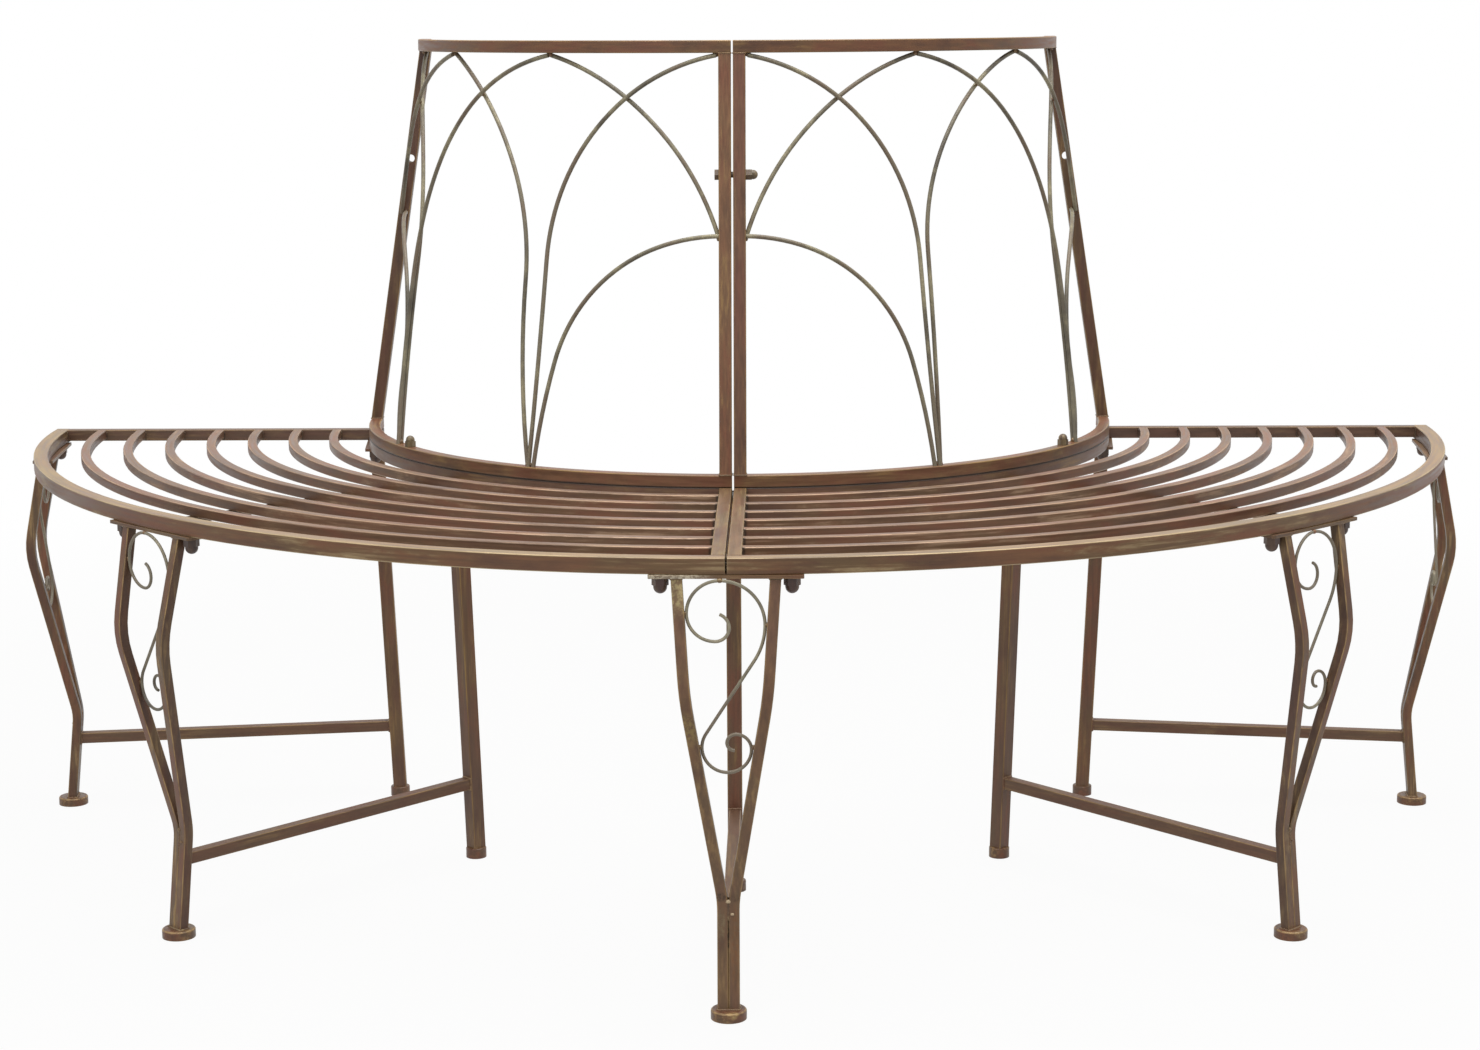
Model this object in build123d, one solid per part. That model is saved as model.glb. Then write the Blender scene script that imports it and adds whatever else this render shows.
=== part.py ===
# Half-round steel tree bench: two quarter-ring seats, two leaning backrest panels
# and five leg frames, bolted together around one half of a tree trunk.
# Millimetres. The trunk axis on the floor is the origin, the front faces -Y,
# and the straight back edge, where a second half bench would join, lies on y = 0.
import os
from math import asin, cos, degrees, radians, sin, sqrt

from build123d import *

# Seat: outer rim, inner rim, radial bars, the curved slats between them, and a flat
# bar under the slats of each half
rim_outer_radius = 782.0
rim_tube = 15.0
rim_wall = 1.2
inner_rim_radius = 412.5
seat_height = 423.0
slat_count = 7
slat_tube = 10.0
support_width = 14.0
support_thickness = 5.0
support_angle = 45.0
bar_tube = 12.5
tube_wall = 1.0
tube_corner = 1.2
end_wall = 1.5
half_gap = 1.0

# Backrest: rails, leaning posts and the round rods bent into pointed arches.
# Pairs of bends are for the panel's outer end and for its end at the joint, angles
# measured from that end. The left panel's cross rod at the joint is bent flatter.
bench_height = 861.0
top_rail_inset = 65.5
rod_radius = 2.25
rod_layer_gap = 0.2
apex_angle = 32.2
corner_shoulder_angles = [26.3, 29.6]
left_cross_shoulders = [26.9, 33.8]
right_cross_shoulders = [26.9, 31.6]
node_angles = [28.8, 30.2]
cross_node_shift = 0.5
brace_node_shift = 0.8
corner_angle = 2.6
short_arch_span = 31.8
short_arch_turn = 73.3
short_arch_slope = 13.0
corner_slopes = [22.0, 10.0]
left_cross_slopes = [10.0, 22.0]
right_cross_slopes = [10.0, 10.0]
brace_rise = 234.0
brace_radii = [170.0, 184.0]
brace_turns = [88.0, 72.0]
rod_sink = 3.0
heading_turn = 0.5

# Leg frames: angles from the left end of the half circle, and the bent tubes,
# whose places are measured in or out from the rims that they carry
leg_names = ["far_left", "left", "middle", "right", "far_right"]
leg_angles = [5.5, 45.0, 90.0, 135.0, 174.5]
leg_tube = 10.0
leg_seam = 0.1
leg_top_inset = 6.0
leg_bulge_overhang = 15.0
leg_knee_inset = 24.5
leg_foot_inset = 14.0
leg_bulge_height = 303.0
leg_knee_height = 106.5
leg_top_spread = 43.2
leg_bulge_spread = 36.5
bulge_bend = 20.0
knee_bend = 10.0
front_foot_radius = 16.25
front_foot_height = 9.0
front_foot_edge = 2.0
stretcher_tube = 12.0
stretcher_front_height = 77.5
stretcher_rear_height = 83.0
rear_leg_tube = 15.0
rear_leg_wall = 1.2
rear_leg_top_inset = 1.5
rear_leg_foot_inset = 17.0
rear_foot_radius = 10.8
rear_foot_height = 11.0
rear_foot_edge = 1.5

# Bolted plates on top of the legs
plate_thickness = 3.0
plate_width = 22.0
front_plate_length = 136.0
front_bolt_offset = 57.5
rear_plate_length = 76.0
rear_bolt_offset = 27.0
plate_corner = 2.0

# Scroll of thin round wire between the two tubes of each front leg
wire_radius = 1.5
scroll_overhang = 1.5
scroll_top_offset = -5.4
scroll_seat_gap = 0.1
slope_step = 0.5
scroll_slant = 33.0
slant_bend_radius = 58.6
lower_bend_radius = 22.6
upper_curl = [(24.9, 90.0), (12.2, 90.0), (12.7, 70.0)]
lower_curl = [(13.7, 90.0), (7.8, 90.0), (6.8, 90.0)]

# Fasteners: studs and cap nuts under the plates, bolts and cap nuts in the backrest
stud_radius = 4.0
stud_nut_flats = 13.0
stud_nut_height = 15.0
bolt_radius = 3.0
bolt_head_flats = 10.0
bolt_head_height = 4.0
bolt_nut_flats = 10.0
bolt_nut_height = 12.0
bolt_hole_clearance = 0.6
post_hole_clearance = 1.2
thread_clearance = 0.05
nut_depth_share = 0.8
hex_share = 0.5
dome_share = 0.47
link_height = 729.5
sleeve_wall = 1.5
seat_bolt_angle = 32.9

# Places that follow from the sizes above
rim_radius = rim_outer_radius - rim_tube / 2
rim_inner_face = rim_outer_radius - rim_tube
rim_bottom = seat_height - rim_tube
inner_rim_face = inner_rim_radius + bar_tube / 2
inner_rim_bottom = seat_height - bar_tube
slat_gap = (rim_inner_face - inner_rim_face - slat_count * slat_tube) / (slat_count + 1)
bottom_rail_top = seat_height + bar_tube
top_rail_bottom = bench_height - bar_tube
brace_drop = top_rail_bottom - bottom_rail_top - brace_rise
front_plate_bottom = rim_bottom - plate_thickness
rear_plate_bottom = inner_rim_bottom - plate_thickness
hole_radius = bolt_radius + bolt_hole_clearance
post_hole_radius = bolt_radius + post_hole_clearance
bar_middle = half_gap + bar_tube / 2
bar_inner_side = half_gap + bar_tube
top_rail_radius = inner_rim_radius - top_rail_inset
leg_top_radius = rim_outer_radius - leg_top_inset
leg_bulge_radius = rim_outer_radius + leg_bulge_overhang
leg_knee_radius = rim_outer_radius - leg_knee_inset
leg_foot_radius = rim_outer_radius - leg_foot_inset
rear_leg_top_radius = inner_rim_radius - rear_leg_top_inset
rear_leg_foot_radius = inner_rim_radius - rear_leg_foot_inset
scroll_radius = rim_outer_radius + scroll_overhang
lean = (inner_rim_radius - top_rail_radius) / (top_rail_bottom - bottom_rail_top)
seam_spread = (leg_tube + leg_seam) / 2
reach = 2 * rim_outer_radius


def lean_radius(height):
    """Radius of the leaning backrest surface at a height."""
    return inner_rim_radius - lean * (height - bottom_rail_top)


def leg_radius(height):
    """Radius of the front leg's straight runs at a height."""
    if height > leg_bulge_height:
        share = (height - leg_bulge_height) / (front_plate_bottom - leg_bulge_height)
        return leg_bulge_radius + share * (leg_top_radius - leg_bulge_radius)
    if height > leg_knee_height:
        share = (height - leg_knee_height) / (leg_bulge_height - leg_knee_height)
        return leg_knee_radius + share * (leg_bulge_radius - leg_knee_radius)
    share = (height - front_foot_height) / (leg_knee_height - front_foot_height)
    return leg_foot_radius + share * (leg_knee_radius - leg_foot_radius)


def leg_spread(height):
    """Sideways distance of a front tube's middle from the leg's middle plane."""
    if height > leg_bulge_height:
        share = (height - leg_bulge_height) / (front_plate_bottom - leg_bulge_height)
        return leg_bulge_spread + share * (leg_top_spread - leg_bulge_spread)
    if height > leg_knee_height:
        share = (height - leg_knee_height) / (leg_bulge_height - leg_knee_height)
        return seam_spread + share * (leg_bulge_spread - seam_spread)
    return seam_spread


def rear_leg_radius(height):
    """Radius of the leaning rear leg's middle line at a height."""
    share = (height - rear_foot_height) / (rear_plate_bottom - rear_foot_height)
    return rear_leg_foot_radius + share * (rear_leg_top_radius - rear_leg_foot_radius)


def quarter_ring(radius, middle, width, corner=0.0):
    """Square bar bent round a quarter circle, from the left end to the front."""
    section = RectangleRounded(width, width, corner) if corner else Rectangle(width, width)
    placed = Plane.XZ * (Pos(radius, middle) * section)
    return Rot(0, 0, 180) * revolve(placed, Axis.Z, 90)


def left_region(joint_limit, back_limit):
    """Everything left of the joint limit and in front of the back limit."""
    place = Pos(-joint_limit - reach / 2, -back_limit - reach / 2, 0)
    return place * Box(reach, reach, 2 * reach)


def ring_tube(radius, top, width, wall, joint_limit, back_limit, back_wall):
    """Hollow quarter ring, open at the joint and closed at the back where a wall is given."""
    middle = top - width / 2
    outer = quarter_ring(radius, middle, width, tube_corner)
    void = quarter_ring(radius, middle, width - 2 * wall)
    if back_wall:
        void = void & left_region(0, back_limit + back_wall)
    return (outer & left_region(joint_limit, back_limit)) - void


def straight_tube(plane, length, width, wall=0.0):
    """Square tube along a plane's normal, from its origin; solid where no wall is given."""
    outer = extrude(plane * RectangleRounded(width, width, tube_corner), length)
    if not wall:
        return outer
    return outer - extrude(plane * Rectangle(width - 2 * wall, width - 2 * wall), length)


def slab(low, high):
    """Everything between two heights."""
    return Pos(0, 0, (low + high) / 2) * Box(2 * reach, 2 * reach, high - low)


def coped_bar(plane):
    """Radial bar between the rims, its ends cut to their round faces."""
    bar = straight_tube(plane, rim_outer_radius, bar_tube, tube_wall)
    between = Cylinder(rim_inner_face, reach) - Cylinder(inner_rim_face, reach)
    return bar & between


def slat_support():
    """Flat bar under the left half's slats, notched over the rear leg's plate."""
    top = seat_height - slat_tube
    middle = top - support_thickness / 2
    bar = Pos(0, -rim_outer_radius / 2, middle) * Box(
        support_width, rim_outer_radius, support_thickness)
    between = Cylinder(rim_inner_face, reach) - Cylinder(inner_rim_face, reach)
    plate_middle = bolt_radius_on(inner_rim_radius, rear_bolt_offset)
    notch = Pos(0, -plate_middle, inner_rim_bottom - support_thickness) * Box(
        2 * support_width, plate_width, 2 * support_thickness)
    return Rot(0, 0, support_angle - 90) * ((bar & between) - notch)


def seat_half():
    """The left seat half, by piece name."""
    bar_height = seat_height - bar_tube / 2
    pieces = {}
    pieces["outer_rim"] = ring_tube(
        rim_radius, seat_height, rim_tube, rim_wall, half_gap, 0, end_wall)
    inner_rim = ring_tube(
        inner_rim_radius, seat_height, bar_tube, tube_wall, half_gap, 0, end_wall)
    pieces["inner_rim"] = inner_rim - seat_bolt_hole()
    pieces["centre_bar"] = coped_bar(Plane((-bar_middle, 0, bar_height), (1, 0, 0), (0, -1, 0)))
    pieces["end_bar"] = coped_bar(Plane((0, -bar_tube / 2, bar_height), (0, 1, 0), (-1, 0, 0)))
    pieces["slat_support"] = slat_support()
    for number in range(1, slat_count + 1):
        radius = rim_inner_face + slat_tube / 2 - number * (slat_gap + slat_tube)
        pieces[f"slat_{number}"] = ring_tube(
            radius, seat_height, slat_tube, tube_wall, bar_inner_side, bar_tube, 0)
    return pieces


def seat_bolt_place():
    """Where the bolt that holds the backrest down passes through rail and rim."""
    angle = radians(seat_bolt_angle)
    return Pos(-inner_rim_radius * cos(angle), -inner_rim_radius * sin(angle), seat_height)


def seat_bolt_hole():
    """Upright hole for that bolt."""
    return seat_bolt_place() * Cylinder(hole_radius, 4 * bar_tube)


def post_plane(at_joint):
    """Plane at the foot of a leaning post, its normal along the post."""
    if at_joint:
        foot = Vector(-bar_middle, -lean_radius(seat_height), seat_height)
        return Plane(foot, (1, 0, 0), Vector(0, lean, 1))
    foot = Vector(-lean_radius(seat_height), -bar_tube / 2, seat_height)
    return Plane(foot, (0, 1, 0), Vector(lean, 0, 1))


def post_tube(at_joint, wall=0.0):
    """Leaning post, cut level between the rails."""
    tube = straight_tube(post_plane(at_joint), bench_height, bar_tube, wall)
    return tube & slab(bottom_rail_top, top_rail_bottom)


def link_place(at_joint):
    """Middle of the cross hole in a post, its axis across the post."""
    radius = lean_radius(link_height)
    if at_joint:
        return Plane((-bar_middle, -radius, link_height), (0, 1, 0), (1, 0, 0))
    return Plane((-radius, -bar_tube / 2, link_height), (1, 0, 0), (0, 1, 0))


def drilled_post(at_joint):
    """Hollow post with a sleeve across it, so a bolt can be tightened through it."""
    place = link_place(at_joint)
    sleeve = place * Cylinder(post_hole_radius + sleeve_wall, bar_tube - tube_wall)
    hole = place * Cylinder(post_hole_radius, 2 * bar_tube)
    return post_tube(at_joint, tube_wall) + sleeve - hole


def cone_point(angle, height, layer):
    """Point on the backrest, a layer's offset in or out of the posts' middle."""
    radius = lean_radius(height) + layer
    return Vector(-radius * cos(radians(angle)), -radius * sin(radians(angle)), height)


def swept_rod(points, first_step, radius):
    """Round rod along tangent arcs through points, starting towards a first step."""
    edges = []
    heading = first_step - points[0]
    for start, end in zip(points, points[1:]):
        arc = TangentArc(start, end, tangent=heading)
        edges.append(arc.edge())
        heading = arc % 1
    path = Wire(edges)
    return sweep(Plane(path @ 0, z_dir=path % 0) * Circle(radius), path=path)


def arch_rod(apex, shoulder, start, layer, foot=None, turn=90.0):
    """Rod that falls from an apex in a round arc, and on straight down to a foot."""
    slope = sin(radians(start))
    middle_radius = lean_radius(top_rail_bottom - brace_drop / 2)
    radius = radians(abs(shoulder - apex)) * middle_radius / (1 - slope)
    top = top_rail_bottom - rod_radius

    def at(bend):
        share = (sin(radians(bend)) - slope) / (1 - slope)
        drop = radius * (cos(radians(start)) - cos(radians(bend)))
        return cone_point(apex + share * (shoulder - apex), top - drop, layer)

    steps = 5
    bends = [start + (turn - start) * i / steps for i in range(steps + 1)]
    points = [at(bend) for bend in bends]
    if foot is not None:
        points.append(cone_point(foot, bottom_rail_top - rod_sink, layer))
    return swept_rod(points, at(start + heading_turn), rod_radius)


def brace_rod(post_angle, foot, radius, turn, layer):
    """Rod that leaves a post level, turns down in a round arc and runs to a foot."""
    side = 1 if foot > post_angle else -1
    start = top_rail_bottom - brace_drop

    def at(bend):
        height = start - radius * (1 - cos(radians(bend)))
        across = degrees(radius * sin(radians(bend)) / lean_radius(height))
        return cone_point(post_angle + side * across, height, layer)

    steps = 4
    points = [at(turn * i / steps) for i in range(steps + 1)]
    points.append(cone_point(foot, bottom_rail_top - rod_sink, layer))
    return swept_rod(points, at(heading_turn), rod_radius)


def arch_rods(frame, right):
    """The eight rods of one panel, cut where they meet its posts and rails."""
    layer = rod_radius + rod_layer_gap / 2
    post_face = degrees(asin((bar_inner_side - rod_sink) / lean_radius(top_rail_bottom - brace_drop)))
    short_end = apex_angle - short_arch_span
    cross_shoulders = right_cross_shoulders if right else left_cross_shoulders
    cross_slopes = right_cross_slopes if right else left_cross_slopes
    rods = []
    for mirrored in (False, True):
        corner_shoulder = corner_shoulder_angles[mirrored]
        cross_shoulder = cross_shoulders[mirrored]
        cross_slope = cross_slopes[mirrored]
        node = node_angles[mirrored]

        def side(angle):
            turned = 90 - angle if mirrored else angle
            return 180 - turned if right else turned

        facing = layer if mirrored else -layer
        rods.append(arch_rod(
            side(corner_angle), side(corner_shoulder), corner_slopes[mirrored], facing,
            side(node)))
        rods.append(arch_rod(
            side(90 - apex_angle), side(cross_shoulder), cross_slope, -facing,
            side(node + cross_node_shift)))
        rods.append(arch_rod(
            side(apex_angle), side(short_end), short_arch_slope, -facing, None, short_arch_turn))
        rods.append(brace_rod(
            side(post_face), side(node - brace_node_shift), brace_radii[mirrored],
            brace_turns[mirrored], facing))
    return Compound([rod - frame for rod in rods])


def backrest_half():
    """The left backrest panel, by piece name."""
    pieces = {}
    top = (top_rail_radius, bench_height, bar_tube, tube_wall, half_gap, 0, end_wall)
    bottom = (inner_rim_radius, bottom_rail_top, bar_tube, tube_wall, half_gap, 0, end_wall)
    pieces["top_rail"] = ring_tube(*top)
    pieces["bottom_rail"] = ring_tube(*bottom) - seat_bolt_hole()
    pieces["centre_post"] = drilled_post(True)
    pieces["end_post"] = drilled_post(False)
    rails = [
        quarter_ring(top_rail_radius, bench_height - bar_tube / 2, bar_tube, tube_corner),
        quarter_ring(inner_rim_radius, seat_height + bar_tube / 2, bar_tube, tube_corner),
    ]
    frame = [*rails, post_tube(True), post_tube(False)]
    pieces["arch_rods"] = arch_rods(frame, False)
    pieces["opposite_arch_rods"] = arch_rods([mirror(bar, about=Plane.YZ) for bar in frame], True)
    return pieces


def rounded_heights():
    """Heights of the front leg's sections: close together through each bend."""
    heights = [front_plate_bottom]
    for middle, half in ((leg_bulge_height, bulge_bend), (leg_knee_height, knee_bend)):
        heights += [middle + half * step for step in (1, 0.5, 0, -0.5, -1)]
    return heights + [front_foot_height]


def smoothed(follow, height):
    """Value of a straight-run function, eased into a curve through each bend."""
    for middle, half in ((leg_bulge_height, bulge_bend), (leg_knee_height, knee_bend)):
        if abs(height - middle) < half:
            above = follow(middle + half)
            below = follow(middle - half)
            share = (height - middle + half) / (2 * half)
            bend = follow(middle)
            lower = below + share * (bend - below)
            upper = bend + share * (above - bend)
            return lower + share * (upper - lower)
    return follow(height)


def front_tube(side, width, corner=0.0):
    """One bent square tube of the middle front leg, as a solid of a given width."""
    sections = []
    for height in rounded_heights():
        place = Pos(side * smoothed(leg_spread, height), -smoothed(leg_radius, height), height)
        square = RectangleRounded(width, width, corner) if corner else Rectangle(width, width)
        sections.append(place * square)
    return loft(sections, ruled=True)


def front_leg():
    """Pair of bent tubes that meet at the knee and run down side by side."""
    tubes = []
    for side in (-1, 1):
        outer = front_tube(side, leg_tube, tube_corner)
        tubes.append(outer - front_tube(side, leg_tube - 2 * tube_wall))
    return Compound(tubes)


def rear_leg(wall=0.0):
    """Leaning square rear tube of the middle leg frame."""
    foot = Vector(0, -rear_leg_radius(0), 0)
    along = Vector(0, rear_leg_radius(0) - rear_leg_radius(1), 1)
    tube = straight_tube(Plane(foot, (1, 0, 0), along), bench_height, rear_leg_tube, wall)
    return tube & slab(rear_foot_height, rear_plate_bottom)


def stretcher():
    """Tube between the front and rear legs, cut to their slanting faces."""
    start = Vector(0, -rear_leg_radius(stretcher_rear_height), stretcher_rear_height)
    end = Vector(0, -leg_radius(stretcher_front_height), stretcher_front_height)
    along = end - start
    tube = straight_tube(Plane(start, (1, 0, 0), along), along.length, stretcher_tube, tube_wall)
    return tube - [front_tube(-1, leg_tube), front_tube(1, leg_tube), rear_leg()]


def bolt_radius_on(ring_radius, offset):
    """Distance out to a bolt at a sideways offset, so that it lies on a ring."""
    return sqrt(ring_radius**2 - offset**2)


def plate(ring_radius, length, offset, top):
    """Flat strip under a rim, with a hole near each end."""
    strip = RectangleRounded(length, plate_width, plate_corner)
    middle = bolt_radius_on(ring_radius, offset)
    for side in (-1, 1):
        strip -= Pos(side * offset, 0) * Circle(stud_radius + bolt_hole_clearance)
    return extrude(Pos(0, -middle, top) * strip, -plate_thickness)


def inner_face(height, bend):
    """Sideways reach of a scroll bend whose wire touches a slanting front tube."""
    slope = (leg_spread(height + slope_step) - leg_spread(height - slope_step)) / (2 * slope_step)
    slant_room = (bend + wire_radius) * (sqrt(1 + slope**2) - 1)
    return leg_spread(height) - leg_tube / 2 - wire_radius - scroll_seat_gap - slant_room


def settle(guess, rule):
    """Repeat a rule until its value stops changing."""
    for _ in range(20):
        guess = rule(guess)
    return guess


def bent_chain(start, heading, runs):
    """Tangent arcs, each a radius and a turn, and straight runs where the radius is zero."""
    edges = []
    for radius, amount in runs:
        if radius:
            edge = JernArc(start, heading, radius, amount)
        else:
            edge = Line(start, start + heading * amount)
        edges.append(edge.edge())
        start = edge @ 1
        heading = edge % 1
    return edges


def scroll():
    """S-shaped wire scroll that touches the plate above it and both tubes."""
    top = front_plate_bottom - wire_radius - scroll_seat_gap
    slant = radians(scroll_slant)
    left_arc = settle(leg_tube, lambda r: inner_face(top - r, r) + scroll_top_offset)
    right_arc = settle(leg_tube, lambda r: inner_face(top - r, r) - scroll_top_offset)
    right_side = scroll_top_offset + right_arc
    bends = slant_bend_radius + lower_bend_radius

    def slanted_run(left_side):
        return (right_side - left_side - bends * (1 - cos(slant))) / sin(slant)

    def left_height(left_side):
        return top - right_arc - bends * sin(slant) - slanted_run(left_side) * cos(slant)

    left_side = settle(
        -leg_tube, lambda side: -inner_face(left_height(side), lower_bend_radius))
    bottom = left_height(left_side) - lower_bend_radius
    middle = left_side + lower_bend_radius
    rising_arc = settle(leg_tube, lambda r: inner_face(bottom + r, r) - middle)
    down = [(right_arc, -90.0), (slant_bend_radius, -scroll_slant), (0, slanted_run(left_side)),
            (lower_bend_radius, 90 + scroll_slant), (rising_arc, 90.0)]
    start = Vector(scroll_top_offset, top)
    edges = bent_chain(start, Vector(-1, 0), [(left_arc, 90.0), *upper_curl])
    edges += bent_chain(start, Vector(1, 0), [*down, *lower_curl])
    path = Plane.XZ.offset(scroll_radius) * Wire(edges)
    return sweep(Plane(path @ 0, z_dir=path % 0) * Circle(wire_radius), path=path)


def round_foot(radius, height, edge, middle_radius):
    """Round foot under a leg, its upper edge rounded."""
    foot = Pos(0, -middle_radius, height / 2) * Cylinder(radius, height)
    return fillet(foot.edges().group_by(Axis.Z)[-1], edge)


def cap_nut(flats, height, thread):
    """Cap nut standing on the floor: hexagon below, dome above, blind hole from below."""
    hexagon = height * hex_share
    dome = flats * dome_share
    body = extrude(RegularPolygon(flats / 2, 6, major_radius=False), hexagon)
    shoulder = height - dome
    body += Pos(0, 0, shoulder / 2) * Cylinder(dome, shoulder)
    body += Pos(0, 0, shoulder) * (Sphere(dome) & Pos(0, 0, dome) * Box(4 * dome, 4 * dome, 2 * dome))
    depth = height * nut_depth_share
    return body - Pos(0, 0, depth / 2) * Cylinder(thread + thread_clearance, depth)


def hex_bolt(length):
    """Bolt standing head down: its shank rises from the origin."""
    head = extrude(RegularPolygon(bolt_head_flats / 2, 6, major_radius=False), -bolt_head_height)
    return head + Pos(0, 0, length / 2) * Cylinder(bolt_radius, length)


def plate_studs(ring_radius, offset, top):
    """Studs that hang from a rim through a plate."""
    length = plate_thickness + stud_nut_height * nut_depth_share - bolt_hole_clearance
    stud = Pos(0, -bolt_radius_on(ring_radius, offset), top - length / 2) * Cylinder(stud_radius, length)
    return [Pos(side * offset, 0) * stud for side in (-1, 1)]


def plate_nuts(ring_radius, offset, top):
    """Cap nuts that hold a plate up on its studs."""
    nut = Rot(180, 0, 0) * cap_nut(stud_nut_flats, stud_nut_height, stud_radius)
    nut = Pos(0, -bolt_radius_on(ring_radius, offset), top - plate_thickness) * nut
    return [Pos(side * offset, 0) * nut for side in (-1, 1)]


def backrest_fasteners():
    """Bolts and cap nuts: one links the two panels, one holds each panel to the seat."""
    thread = bolt_nut_height * nut_depth_share - bolt_hole_clearance
    link = Plane((-bar_inner_side, -lean_radius(link_height), link_height), (0, 1, 0), (1, 0, 0))
    far = Plane((bar_inner_side, -lean_radius(link_height), link_height), (0, 1, 0), (1, 0, 0))
    bolts = [link * hex_bolt(2 * bar_inner_side + thread)]
    nuts = [far * cap_nut(bolt_nut_flats, bolt_nut_height, bolt_radius)]
    down = seat_bolt_place() * Pos(0, 0, -bar_tube) * hex_bolt(2 * bar_tube + thread)
    held = seat_bolt_place() * Pos(0, 0, bar_tube) * cap_nut(
        bolt_nut_flats, bolt_nut_height, bolt_radius)
    bolts += [down, mirror(down, about=Plane.YZ)]
    nuts += [held, mirror(held, about=Plane.YZ)]
    return bolts, nuts


def write(name, shape):
    """Save one node."""
    export_step(shape, f"parts/{name}.step")


def main():
    os.makedirs("parts", exist_ok=True)
    halves = {**seat_half(), **backrest_half()}
    write("right_arch_rods", halves.pop("opposite_arch_rods"))
    write("left_arch_rods", halves.pop("arch_rods"))
    for name, piece in halves.items():
        write(f"left_{name}", piece)
        write(f"right_{name}", mirror(piece, about=Plane.YZ))

    frame_pieces = {
        "front_leg": front_leg(),
        "scroll": scroll(),
        "stretcher": stretcher(),
        "rear_leg": rear_leg(rear_leg_wall),
    }
    front = (rim_radius, front_bolt_offset, rim_bottom)
    rear = (inner_rim_radius, rear_bolt_offset, inner_rim_bottom)
    front_foot = (front_foot_radius, front_foot_height, front_foot_edge, leg_foot_radius)
    rear_foot = (rear_foot_radius, rear_foot_height, rear_foot_edge, rear_leg_foot_radius)
    shared_pieces = {
        "leg_plates": [
            plate(rim_radius, front_plate_length, *front[1:]),
            plate(inner_rim_radius, rear_plate_length, *rear[1:]),
        ],
        "leg_feet": [round_foot(*front_foot), round_foot(*rear_foot)],
        "leg_studs": plate_studs(*front) + plate_studs(*rear),
        "leg_cap_nuts": plate_nuts(*front) + plate_nuts(*rear),
    }
    shared = {name: [] for name in shared_pieces}
    for leg, angle in zip(leg_names, leg_angles):
        turn = Rot(0, 0, angle - 90)
        for name, piece in frame_pieces.items():
            write(f"{leg}_{name}", turn * piece)
        for name, pieces in shared_pieces.items():
            shared[name] += [turn * piece for piece in pieces]
    bolts, nuts = backrest_fasteners()
    shared["backrest_bolts"] = bolts
    shared["backrest_cap_nuts"] = nuts
    for name, pieces in shared.items():
        write(name, Compound(pieces))


main()
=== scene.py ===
"""Looks of the half-round steel tree bench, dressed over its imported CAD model."""
import logging
import math
import random
from dataclasses import dataclass
from enum import Enum
from typing import Mapping, Optional, Sequence, Union

import bmesh
import bpy
from mathutils import Matrix, Vector


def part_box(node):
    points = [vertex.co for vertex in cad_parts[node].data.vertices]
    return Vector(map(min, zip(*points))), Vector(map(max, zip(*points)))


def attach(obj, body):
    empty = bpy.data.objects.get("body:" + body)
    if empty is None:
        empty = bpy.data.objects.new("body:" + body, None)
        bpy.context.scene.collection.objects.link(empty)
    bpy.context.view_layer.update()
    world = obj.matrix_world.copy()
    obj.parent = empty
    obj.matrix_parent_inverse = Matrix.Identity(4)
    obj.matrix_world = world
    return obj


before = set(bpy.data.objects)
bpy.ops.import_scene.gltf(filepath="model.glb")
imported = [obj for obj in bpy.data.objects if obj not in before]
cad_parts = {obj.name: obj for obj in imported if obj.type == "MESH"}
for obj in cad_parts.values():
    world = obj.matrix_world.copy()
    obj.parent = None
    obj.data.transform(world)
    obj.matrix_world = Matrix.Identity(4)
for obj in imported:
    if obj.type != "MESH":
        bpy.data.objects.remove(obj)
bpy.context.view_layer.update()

log = logging.getLogger("tree_bench")

Display = tuple[int, int, int]
Place = tuple[float, float, float]
Owner = Union[bpy.types.Material, bpy.types.World]
Socket = bpy.types.NodeSocket
Feed = Union[Socket, float, Sequence[float]]
Inputs = Mapping[Union[int, str], Feed]
Ring = list[bmesh.types.BMVert]

UP = Vector((0.0, 0.0, 1.0))
WHITE = (1.0, 1.0, 1.0, 1.0)

# Signs of a square's corners, in order round it
SQUARE = ((-1, -1), (1, -1), (1, 1), (-1, 1))

# Height of the seat's top in metres
SEAT_TOP = 0.423

# Where the front and the leg frames are, in degrees round the trunk from the left end
FRONT = 90.0
LEG_ANGLES = {"far_left": 5.5, "left": 45.0, "middle": FRONT, "right": 135.0, "far_right": 174.5}
MIDDLE_LEG = "middle"


class Side(Enum):
    """The two halves of the bench, by the sign of x."""

    LEFT = -1
    RIGHT = 1

    @property
    def word(self) -> str:
        """The half's name as it stands in the node names."""
        return self.name.lower()


class GrainRun(Enum):
    """The way in which the patina was brushed along a piece."""

    AROUND = "around the trunk"
    UPRIGHT = "up and down"
    OUTWARD = "out from the trunk"
    ROUND = "round the piece itself"


def linear(colour: Display) -> tuple[float, float, float, float]:
    """Turns an 8-bit display colour into a linear one, by the usual display curve.

    Args:
        colour: Red, green and blue from 0 to 255.

    Returns:
        The linear colour with full alpha.
    """
    parts = []
    for value in colour:
        share = value / 255
        parts.append(share / 12.92 if share <= 0.04045 else ((share + 0.055) / 1.055) ** 2.4)
    return (parts[0], parts[1], parts[2], 1.0)


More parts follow.
